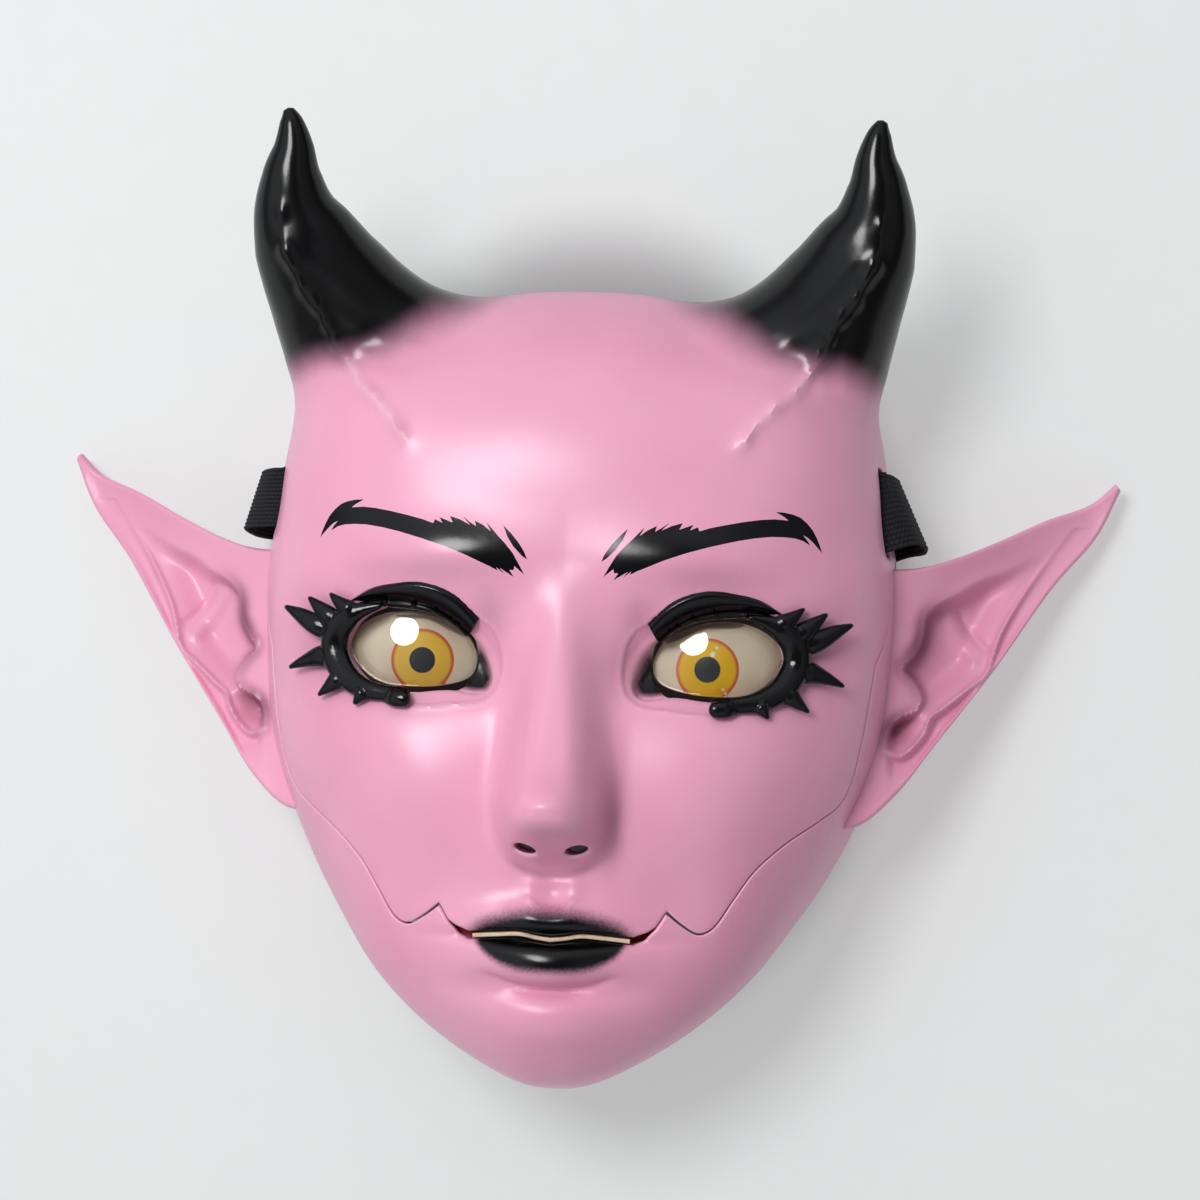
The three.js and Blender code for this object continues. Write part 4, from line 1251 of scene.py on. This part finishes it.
def eye_material():
    """Cream print and amber iris worked out from the distance to the iris centre; painted glints, reflection
    and shade.
    """
    material, tree, shader = new_material("printed_eye")
    parts = add(tree, "SeparateXYZ", {0: add(tree, "TexCoord").outputs["Object"]}).outputs
    across = maths(tree, "SUBTRACT", maths(tree, "ABSOLUTE", parts[0]), IRIS_X / 1000)
    along = maths(tree, "SUBTRACT", parts[1], (IRIS_Y - MIDDLE_Y) / 1000)
    squares = [maths(tree, "MULTIPLY", value, value) for value in (across, along)]
    far = maths(tree, "SQRT", maths(tree, "ADD", *squares))
    ring = maths(tree, "DIVIDE", far, IRIS_RADIUS / 1000)
    angle = maths(tree, "ARCTAN2", along, across)
    polar = add(tree, "CombineXYZ", {0: maths(tree, "MULTIPLY", angle, 5.0), 1: ring}).outputs[0]
    rays = noise(tree, polar, 2.2, 4.0)
    # Painted reflection: the left iris turns paler towards its lower left.
    iris_reflection = maths(tree, "ADD", maths(tree, "MULTIPLY", parts[0], 40.0), maths(tree, "MULTIPLY", along, 60.0))
    amber = blend_colour(tree, span(tree, iris_reflection, -2.6, 0.2), colour(255, 212, 100), colour(255, 204, 2))
    amber = blend_colour(tree, span(tree, rays, 0.45, 0.75, 0, 0.35), amber, colour(255, 208, 40))
    amber = blend_colour(tree, span(tree, ring, 0.86, 0.95, 0, 0.9), amber, colour(232, 96, 60))
    cloud = noise(tree, spot(tree), 60.0, 3.0)
    white = blend_colour(tree, span(tree, cloud, 0.3, 0.7), colour(254, 238, 214), colour(248, 228, 200))
    white = blend_colour(tree, span(tree, far, 0.014, 0.024, 0, 0.45), white, colour(214, 188, 156))
    # Painted shade under the lid: a grey-brown band across the top of each eye, its lower edge wavy.
    side = maths(tree, "ABSOLUTE", parts[0])
    rise = span(tree, side, 0.028, 0.042, -0.0146, -0.0099)
    edge = maths(tree, "ADD", rise, span(tree, side, 0.046, 0.060, 0, 0.0042))
    edge = maths(tree, "ADD", edge, maths(tree, "MULTIPLY", cloud, 0.0012))
    shade = maths(tree, "SUBTRACT", maths(tree, "SUBTRACT", parts[1], edge), -MIDDLE_Y / 1000)
    pupil = span(tree, ring, *PUPIL_EDGE, 1, 0)
    picture = blend_colour(tree, span(tree, ring, 0.985, 1.015), amber, white)
    picture = blend_colour(tree, pupil, picture, colour(62, 64, 68))
    front_view = add(tree, "CombineXYZ", {0: parts[0], 1: parts[1]}).outputs[0]
    # Painted glints: small white spots on the right iris only.
    for glint_x, glint_y, size in EYE_GLINTS:
        centre = ((IRIS_X + glint_x) / 1000, (IRIS_Y + glint_y - MIDDLE_Y) / 1000, 0)
        from_glint = add(tree, "VectorMath", {0: front_view, 1: centre}, operation="DISTANCE")
        glint = span(tree, from_glint.outputs["Value"], size * 0.0009, size * 0.0011, 0.9, 0)
        picture = blend_colour(tree, glint, picture, colour(255, 250, 240))
    picture = blend_colour(tree, span(tree, shade, 0, 0.0007, 0, 0.7), picture, colour(104, 92, 88))
    tree.links.new(picture, shader.inputs["Base Color"])
    tree.links.new(span(tree, cloud, 0.3, 0.7, 0.3, 0.4), shader.inputs["Roughness"])
    set_bump(tree, shader, noise(tree, spot(tree), 500.0, 2.0), 0.05, 0.0003)
    return material


pair("eye", *bowl_plate(0.5, 1.8, 2.8), eye_material(), "face", "eye", "eye_print")
pair("eye_lens", *bowl_plate(0.4, 0.0, 1.2), clear_material(), "face", "eye_lens", "clear_lens")


# Lids and lashes
LID_OUTER = [(62.4, -4.9), (55.6, -1.1), (48.7, 0.5), (41.8, 1.1), (35.5, -0.1), (29.8, -3.0), (23.9, -8.9)]
LID_STEP = [
    (62.6, -5.5), (54.1, -3.8), (46.1, -3.9), (40.1, -5.1), (34.5, -7.3), (29.9, -10.4), (26.6, -13.4),
]
LID_FREE = [(62.6, -6.9), (54, -6.2), (46, -6.6), (40.1, -7.3), (35.1, -8.8), (31.6, -10.9), (28.0, -13.9)]
LID_TICKS = [0.08, 0.22, 0.42, 0.60, 0.76, 0.85]
LID_STATIONS = 240
# Bead along the lid's ledge: share of the way to the free edge, and drop
LID_LEDGE = [
    (0.06, 0.15), (0.11, 0.5), (0.16, 0.85), (0.27, 0.75), (0.42, 0.45), (0.58, 0.35), (0.74, 0.55),
    (0.9, 1.0), (1.0, 1.6),
]

# Lash: middle lines with the half thickness at each point
LASH_BAND = [
    (53, -6.2, 1.0), (57.8, -7.4, 2.2), (62.0, -9.4, 3.5), (65.3, -13.4, 3.9), (66.0, -18.0, 3.9),
    (64.5, -22.6, 3.9), (61.4, -26.6, 3.5), (56.7, -29.6, 3.0), (50.4, -31.0, 2.4), (44.8, -31.4, 2.4),
]
LASH_CLAWS = [
    [(66.0, -13.8, 2.9), (71.6, -11.8, 3.1), (76.6, -9.0, 2.2), (81.0, -6.8, 0.8)],
    [(64.0, -11.6, 2.6), (67.2, -9.6, 2.9), (70.6, -7.0, 2.1), (73.8, -4.3, 0.8)],
    [(58.8, -7.7, 1.8), (61.8, -7.2, 2.6), (64.8, -5.3, 1.8), (67.4, -3.1, 0.7)],
    [(65.4, -20.9, 2.9), (69.4, -20.7, 3.2), (74.0, -21.9, 2.1), (79.2, -23.9, 0.7)],
    [(61.9, -26.7, 2.7), (64.4, -27.7, 2.8), (67.0, -29.7, 1.8), (69.6, -31.7, 0.7)],
    [(55.0, -30.3, 2.1), (56.6, -31.4, 2.3), (58.4, -33.8, 0.9)],
    [(49.8, -31.5, 2.1), (46.9, -32.3, 2.5), (44.4, -32.6, 2.4)],
]
LASH_VOXEL = 0.0003
END_ANGLES = np.radians((30, 55, 75, 86))


def moulded(name, tones, rough, cloud_scale, grain, contrast=None, specular=0.5):
    """Moulded plastic: two close tones in soft clouds, a sheen that varies with them, and a fine grain."""
    material, tree, shader = new_material(name)
    at = spot(tree)
    cloud = noise(tree, at, cloud_scale, 4.0)
    share = span(tree, cloud, *contrast) if contrast else cloud
    tree.links.new(blend_colour(tree, share, *tones), shader.inputs["Base Color"])
    tree.links.new(span(tree, cloud, 0.3, 0.7, *rough), shader.inputs["Roughness"])
    shader.inputs["Specular IOR Level"].default_value = specular
    scale, detail, strength = grain
    set_bump(tree, shader, noise(tree, at, scale, detail), strength, 0.0003)
    return material


def black_material(name, rough):
    """Black plastic with a satin sheen and faint handling marks."""
    tones = (colour(7, 7, 10), colour(12, 12, 15))
    return moulded(name, tones, (rough - 0.05, rough + 0.06), 160.0, (900.0, 3.0, 0.10), specular=0.42)


def lid_points():
    """Hood with a thick free edge, then a low step with small ticks along it."""
    at = np.linspace(0, 1, LID_STATIONS)
    curves = [spline(line, 16) for line in (LID_OUTER, LID_STEP, LID_FREE)]
    out, step, free = (sampled(curve, at * (len(curve) - 1)) for curve in curves)
    base = skin_height(out[:, 0], out[:, 1]) - 0.2
    edge = np.maximum(bowl(step[:, 0], step[:, 1]), skin_height(step[:, 0], step[:, 1]) - 2.2) + 1.3
    low = bowl(free[:, 0], free[:, 1])
    ticks = sum(bell(at - t, 0.012) for t in LID_TICKS)
    grow = 0.35 + 0.65 * ease(at / 0.14)
    rows = []

    def row(flat, z):
        rows.append(np.column_stack([flat, z]))

    for v in np.linspace(0, 1, 18):
        lift = (0.3 + 2.0 * np.sin(math.pi * (0.06 + 0.80 * v))) * grow
        row(out + (step - out) * v, base + (edge - base) * v + lift * min(1, 0.2 + 4 * v))
    top = rows[-1][:, 2]
    for v, drop in LID_LEDGE:
        flat = step + (free - step) * v
        row(flat, top - drop * (0.6 + 0.4 * grow) + 0.9 * ticks * (0.2 < v < 0.95))
    row(free, np.minimum(top - 2.3, np.maximum(low + 0.25, top - 4)))
    row(step, np.minimum(top - 2.6, np.maximum(low + 0.25, top - 4.2)))
    row(out + (step - out) * 0.5, (base + edge) / 2 - 1.0)
    row(out, base - 1.0)
    return np.stack(rows, axis=1)


def lash_seat(x, y):
    """Height that the lashes rest on: skin or clear dome, and clear of the skin further out."""
    near = np.minimum(x, 62.0)
    return np.maximum(skin_height(near, y), bowl(near, y)) - 0.35 * np.maximum(x - 62, 0)


def round_bar(line, lift=0.0):
    """Points and faces of a bar with round ends that follows a line of places and half thicknesses."""
    path = even(spline(line, 8), 0.5)
    flat, r = path[:, :2], path[:, 2]
    along = unit(np.gradient(flat, axis=0))
    ends = [(0, -along[0]), (len(flat) - 1, along[-1])]
    rise = lift * ease(np.linspace(0, 2.2, len(flat)))
    rings = [(flat[i], along[i], r[i], rise[i]) for i in range(len(flat))]
    for k, (i, way) in enumerate(ends):
        cap = []
        for a in END_ANGLES:
            cap.append((flat[i] + way * r[i] * math.sin(a), along[i], r[i] * math.cos(a), rise[i]))
        rings = cap[::-1] + rings if k == 0 else rings + cap
    turn = np.linspace(0, 2 * math.pi, 16, endpoint=False)
    made = []
    for middle, way, size, up in rings:
        side = np.array([-way[1], way[0]])
        half = 0.5 + 0.5 * size
        height = lash_seat(middle[0:1], middle[1:2])[0] + 0.5 + up * min(1, size) + half
        xy = middle + side * (size * np.cos(turn))[:, None]
        made.append(np.column_stack([xy, height + half * np.sin(turn)]))
    return tube(np.array(made))


def lash_piece():
    """Band and claws melted into one solid."""
    points, faces = [], []
    ridges = [([(x, y, 0.42 * r) for x, y, r in claw], 1.6) for claw in LASH_CLAWS]
    for line, lift in [(LASH_BAND, 0.0)] + [(claw, 0.9) for claw in LASH_CLAWS] + ridges:
        p, f = round_bar(line, lift)
        start = sum(len(q) for q in points)
        faces += [tuple(i + start for i in face) for face in f]
        points.append(p)
    mesh = bpy.data.meshes.new("lash_draft")
    mesh.from_pydata(to_metres(np.concatenate(points)).tolist(), [], faces)
    draft = bpy.data.objects.new("lash_draft", mesh)
    bpy.context.collection.objects.link(draft)
    melt = draft.modifiers.new("melt", "REMESH")
    melt.mode, melt.voxel_size = "VOXEL", LASH_VOXEL
    soften = draft.modifiers.new("soften", "SMOOTH")
    soften.factor, soften.iterations = 0.5, 7
    solid = draft.evaluated_get(bpy.context.evaluated_depsgraph_get()).to_mesh()
    verts = np.empty(len(solid.vertices) * 3)
    solid.vertices.foreach_get("co", verts)
    result = verts.reshape(-1, 3) * 1000 + (0, MIDDLE_Y, 0), [tuple(f.vertices) for f in solid.polygons]
    bpy.data.objects.remove(draft)
    return result


lid_black, lash_black = black_material("satin_black", 0.17), black_material("lash_black", 0.17)
pair("eyelid", *tube(lid_points()), lid_black, "face", "eyelid", "black_gloss")
pair("lash", *lash_piece(), lash_black, "face", "lash", "black_gloss")


# Teeth strip, mouth liner and hinge caps
def mouth_line(shrink, step):
    half = spline(LIP_LINE, 12)
    full = np.concatenate([(half * (-1, 1))[:0:-1], half])
    return even(full * (shrink, 1), step)


def teeth_points():
    """Rings of the teeth strip along the lips: a grooved front bar with a plate behind it."""
    row = mouth_line(0.955, 0.6)
    x, y = row[:, 0], row[:, 1]
    front_z = skin_height(x, y) - 0.5
    back_z = skin_height(x, y, inside=True) - WALL - 2.0
    groove = 0.10 * np.exp(-((np.mod(x + 2.6, 5.2) - 2.6) / 0.35) ** 2)
    shape = [(-0.66, -0.35), (-0.56, -0.1), (-0.3, 0), (0.3, 0), (0.56, -0.1), (0.66, -0.35)]
    rows = [np.column_stack([x, y + dy, front_z + dz - groove]) for dy, dz in shape]
    rows += [np.column_stack([x, y + 0.5, back_z + 1.2]), np.column_stack([x, y + 7, back_z + 1.2]),
              np.column_stack([x, y + 7.2, back_z]), np.column_stack([x, y - 0.5, back_z])]
    return np.stack(rows, axis=1)


def liner_points():
    """Rings of the red plate behind the mouth, with rounded edges."""
    x = np.linspace(-31, 31, 60)
    z = skin_height(x, np.full(60, -96.0), inside=True) - WALL - 3.8
    ys = np.linspace(-107, -87, 18)
    edge = np.minimum(ys + 107.4, -86.6 - ys)
    top = 0.7 * np.sqrt(clamp(1 - (1 - clamp(edge / 0.8)) ** 2))
    rows = [np.column_stack([x, np.full(60, yy), z - 0.7 + t]) for yy, t in zip(ys, top)]
    rows += [np.column_stack([x, np.full(60, yy), z - 1.6]) for yy in ys[::-3]]
    return np.stack(rows, axis=1)


# Hinge cap: places along the pivot with the radius at each
CAP_PROFILE = [
    (78.2, 1.0), (78.2, 3.0), (78.25, 4.6), (78.45, 5.1), (78.8, 5.4), (81.2, 5.4), (81.5, 5.25),
    (81.6, 5.0), (81.6, 3.3), (81.4, 3.02), (79.5, 3.02), (79.4, 2.8), (79.4, 1.0),
]


def cap_points():
    """Round cap on the pivot: domed inside face, rounded rim, bore on its outer side."""
    around = np.linspace(0, 2 * math.pi, 64, endpoint=False)
    circle = np.column_stack([np.zeros(64), np.cos(around), np.sin(around)])
    return np.array([r * circle + (x, HINGE_Y, HINGE_Z) for x, r in CAP_PROFILE])


cream = moulded("cream_plastic", (colour(238, 212, 192), colour(216, 182, 160)), (0.3, 0.45), 220.0,
                (700.0, 2.0, 0.12), contrast=(0.35, 0.7))
red = moulded("red_liner", (colour(232, 22, 52), colour(205, 14, 42)), (0.32, 0.45), 120.0, (600.0, 2.0, 0.1))
make("teeth_strip", *tube(teeth_points()), cream, "face", ["upper_teeth"], "cream_teeth")
make("liner", *tube(liner_points()), red, "jaw", ["mouth_liner"], "red_liner")
pair("hinge_cap", *tube(cap_points()), black_material("cap_black", 0.35), "jaw", "hinge_cap", "black_gloss")


# Knit elastic
STRAP_WIDTH, STRAP_THICK = 24.0, 1.5
STRAP_SIDE = [
    (76, 4.4), (80, 9), (81.5, 28), (81.8, 40), (84.6, 45.3), (89.5, 46.8), (95, 46), (99.5, 42),
    (101.8, 34), (102.5, 22), (101.8, 9), (99, 3), (94, 2.2), (86, 2), (70, 2),
]
STRAP_BACK = [(35, 6), (0, 8), (-35, 6)]
RIB, STITCH = 1.6, 1.6
STRAP_RELIEF = 0.42
STRAP_COLUMNS = 61
# Slant, shift and narrowing of the loops beside the mask, right and left
STRAP_SLANT, STRAP_SHIFT, STRAP_NARROWING = (9.5, -5.0), (1.6, -0.9), (1.6, 3.1)


def knit_material():
    """Black knit, fibrous all over: painted shade between the stitches and a painted sheen on them."""
    material, tree, shader = new_material("knit_elastic")
    at = spot(tree)
    fibre = noise(tree, at, 1400.0, 4.0)
    hollow = blend_colour(tree, fibre, colour(2, 2, 3), colour(8, 8, 10))
    stitch_light = blend_colour(tree, fibre, colour(30, 31, 36), colour(66, 68, 76))
    tree.links.new(blend_colour(tree, mark(tree, "stitch_light"), hollow, stitch_light), shader.inputs["Base Color"])
    tree.links.new(span(tree, fibre, 0.3, 0.7, 0.72, 0.92), shader.inputs["Roughness"])
    set_bump(tree, shader, fibre, 0.5, 0.0003)
    return material


def strap_points():
    """Rings along the elastic with ribs and stitches, its length, and a mark for the painted sheen on each
    stitch.
    """
    line = STRAP_SIDE + STRAP_BACK + [(-x, z) for x, z in STRAP_SIDE[::-1]]
    path = even(spline(line, 14), STITCH / 2)
    along = unit(np.gradient(path, axis=0))
    normal = np.stack([-along[:, 1], along[:, 0]], axis=1)
    across = np.linspace(-1, 1, STRAP_COLUMNS)
    away = ease((np.abs(path[:, 0]) - 88) / 12)
    left = path[:, 0] < 0
    slant = np.where(left, STRAP_SLANT[1], STRAP_SLANT[0]) * away
    lower = ease((np.abs(path[:, 0]) - 82) / 8)
    shift = np.where(left, STRAP_SHIFT[1] * lower, STRAP_SHIFT[0] * away)
    narrow = np.where(left, STRAP_NARROWING[1] * lower, STRAP_NARROWING[0] * away)
    phase = np.arange(len(path)) % 2
    columns, stitch_light = [], []
    for side in (1, -1):
        for v in (across if side == 1 else across[::-1]):
            rib = 0.5 + 0.5 * math.cos(2 * math.pi * (v * STRAP_WIDTH / 2) / RIB)
            stitch = np.where((phase + int(round(v * STRAP_WIDTH / 2 / RIB))) % 2 == 0, 1.0, 0.35)
            edge = math.sqrt(max(1 - (max(abs(v) - 0.93, 0) / 0.07) ** 2, 0))
            stitch_light.append(rib * stitch)
            half = (STRAP_THICK / 2 - STRAP_RELIEF * (1 - rib * stitch)) * (0.25 + 0.75 * edge)
            x = path[:, 0] + side * normal[:, 0] * half - slant * (v + 1) / 2
            z = path[:, 1] + side * normal[:, 1] * half
            columns.append(np.column_stack([x, SLOT_Y + v * STRAP_WIDTH / 2 + shift - v * narrow, z]))
    length = np.linalg.norm(np.diff(path, axis=0), axis=1).sum()
    return np.stack(columns, axis=1), length, np.append(np.stack(stitch_light, axis=1).ravel(), (0, 0))


strap_rings, strap_length, strap_stitch_light = strap_points()
strap = make("elastic", *tube(strap_rings), knit_material(), "face", ["head_strap"], "knit_elastic",
             marks={"stitch_light": strap_stitch_light})


# Camera at the photograph's angle, light and floor
CAMERA_TARGET = np.array([7.2, 0.0, 50.0])
CAMERA_DISTANCE = 1000.0
CAMERA_TURN, CAMERA_TIP, CAMERA_ROLL = (math.radians(a) for a in (4.6, 4.0, 2.2))
CAMERA_LENS = 102.3
# Window in metres and watts, strength of the sky, and the table's glow away from the mask
WINDOW_PLACE, WINDOW_SIZE, WINDOW_POWER = (-0.42, 0.38, 1.38), (0.52, 0.52), 10.8
SKY_STRENGTH = 0.97
TABLE_HALF, GLOW_SHAPE, GLOW_START, GLOW_FULL, GLOW = 3, (10.6, 8.3, 1), 0.82, 1.12, 0.40


def add_camera():
    back = np.array([math.sin(CAMERA_TURN) * math.cos(CAMERA_TIP), -math.sin(CAMERA_TIP),
                     math.cos(CAMERA_TURN) * math.cos(CAMERA_TIP)])
    right = unit(np.cross(-back, (0, 1, 0)))
    up = np.cross(right, -back)
    turned = math.cos(CAMERA_ROLL) * right + math.sin(CAMERA_ROLL) * up
    top = math.cos(CAMERA_ROLL) * up - math.sin(CAMERA_ROLL) * right
    data = bpy.data.cameras.new("camera")
    data.lens = CAMERA_LENS
    data.sensor_width = 36
    camera = bpy.data.objects.new("camera", data)
    stand = to_metres(CAMERA_TARGET + CAMERA_DISTANCE * back)
    rows = [[*v, w] for v, w in zip(np.stack([turned, top, back], axis=1).tolist(), stand.tolist())]
    camera.matrix_world = Matrix(rows + [[0, 0, 0, 1]])
    bpy.context.collection.objects.link(camera)
    bpy.context.scene.camera = camera


def add_light(name, place, aim, size, power):
    data = bpy.data.lights.new(name, "AREA")
    data.shape = "ELLIPSE"
    data.size, data.size_y = size
    data.energy = power
    lamp = bpy.data.objects.new(name, data)
    lamp.location = place
    lamp.rotation_euler = (Vector(aim) - Vector(place)).to_track_quat("-Z", "Y").to_euler()
    bpy.context.collection.objects.link(lamp)


def add_floor():
    mesh = bpy.data.meshes.new("floor")
    corners = [(x * TABLE_HALF, y * TABLE_HALF, 0) for x, y in ((-1, -1), (1, -1), (1, 1), (-1, 1))]
    mesh.from_pydata(corners, [], [(0, 1, 2, 3)])
    material, tree, shader = new_material("pale_table")
    grain = noise(tree, spot(tree), 90.0, 5.0)
    tone = blend_colour(tree, grain, colour(170, 172, 172), colour(166, 168, 168))
    tree.links.new(tone, shader.inputs["Base Color"])
    shader.inputs["Roughness"].default_value = 0.55
    shader.inputs["Emission Color"].default_value = (1, 1, 1, 1)
    far = add(tree, "VectorMath", {0: spot(tree, GLOW_SHAPE)}, operation="LENGTH").outputs["Value"]
    tree.links.new(span(tree, far, GLOW_START, GLOW_FULL, 0, GLOW), shader.inputs["Emission Strength"])
    mesh.materials.append(material)
    floor = bpy.data.objects.new("floor", mesh)
    bpy.context.collection.objects.link(floor)


def add_sky():
    """Pale ring of light above the horizon, weaker straight overhead, on the right and below the chin."""
    world = bpy.data.worlds.new("studio")
    world.use_nodes = True
    sky = world.node_tree
    x, y, z = add(sky, "SeparateXYZ", {0: add(sky, "TexCoord").outputs["Generated"]}).outputs
    ring = maths(sky, "MULTIPLY", span(sky, z, 0.15, 0.5, 0.35, 1), span(sky, z, 0.8, 0.95, 1, 0.15))
    side = maths(sky, "MULTIPLY", span(sky, x, 0.1, 0.8, 1, 0.35), span(sky, y, -0.8, -0.2, 0.8, 1))
    tone = blend_colour(sky, maths(sky, "MULTIPLY", ring, side), (0, 0, 0, 1), (0.96, 0.985, 1.0, 1))
    background = sky.nodes["Background"]
    sky.links.new(tone, background.inputs["Color"])
    background.inputs["Strength"].default_value = SKY_STRENGTH
    bpy.context.scene.world = world


add_camera()
add_light("window", WINDOW_PLACE, (0, 0, 0.05), WINDOW_SIZE, WINDOW_POWER)
add_floor()
add_sky()
bpy.context.scene.view_settings.view_transform = "Standard"
bpy.context.scene.view_settings.gamma = 0.88
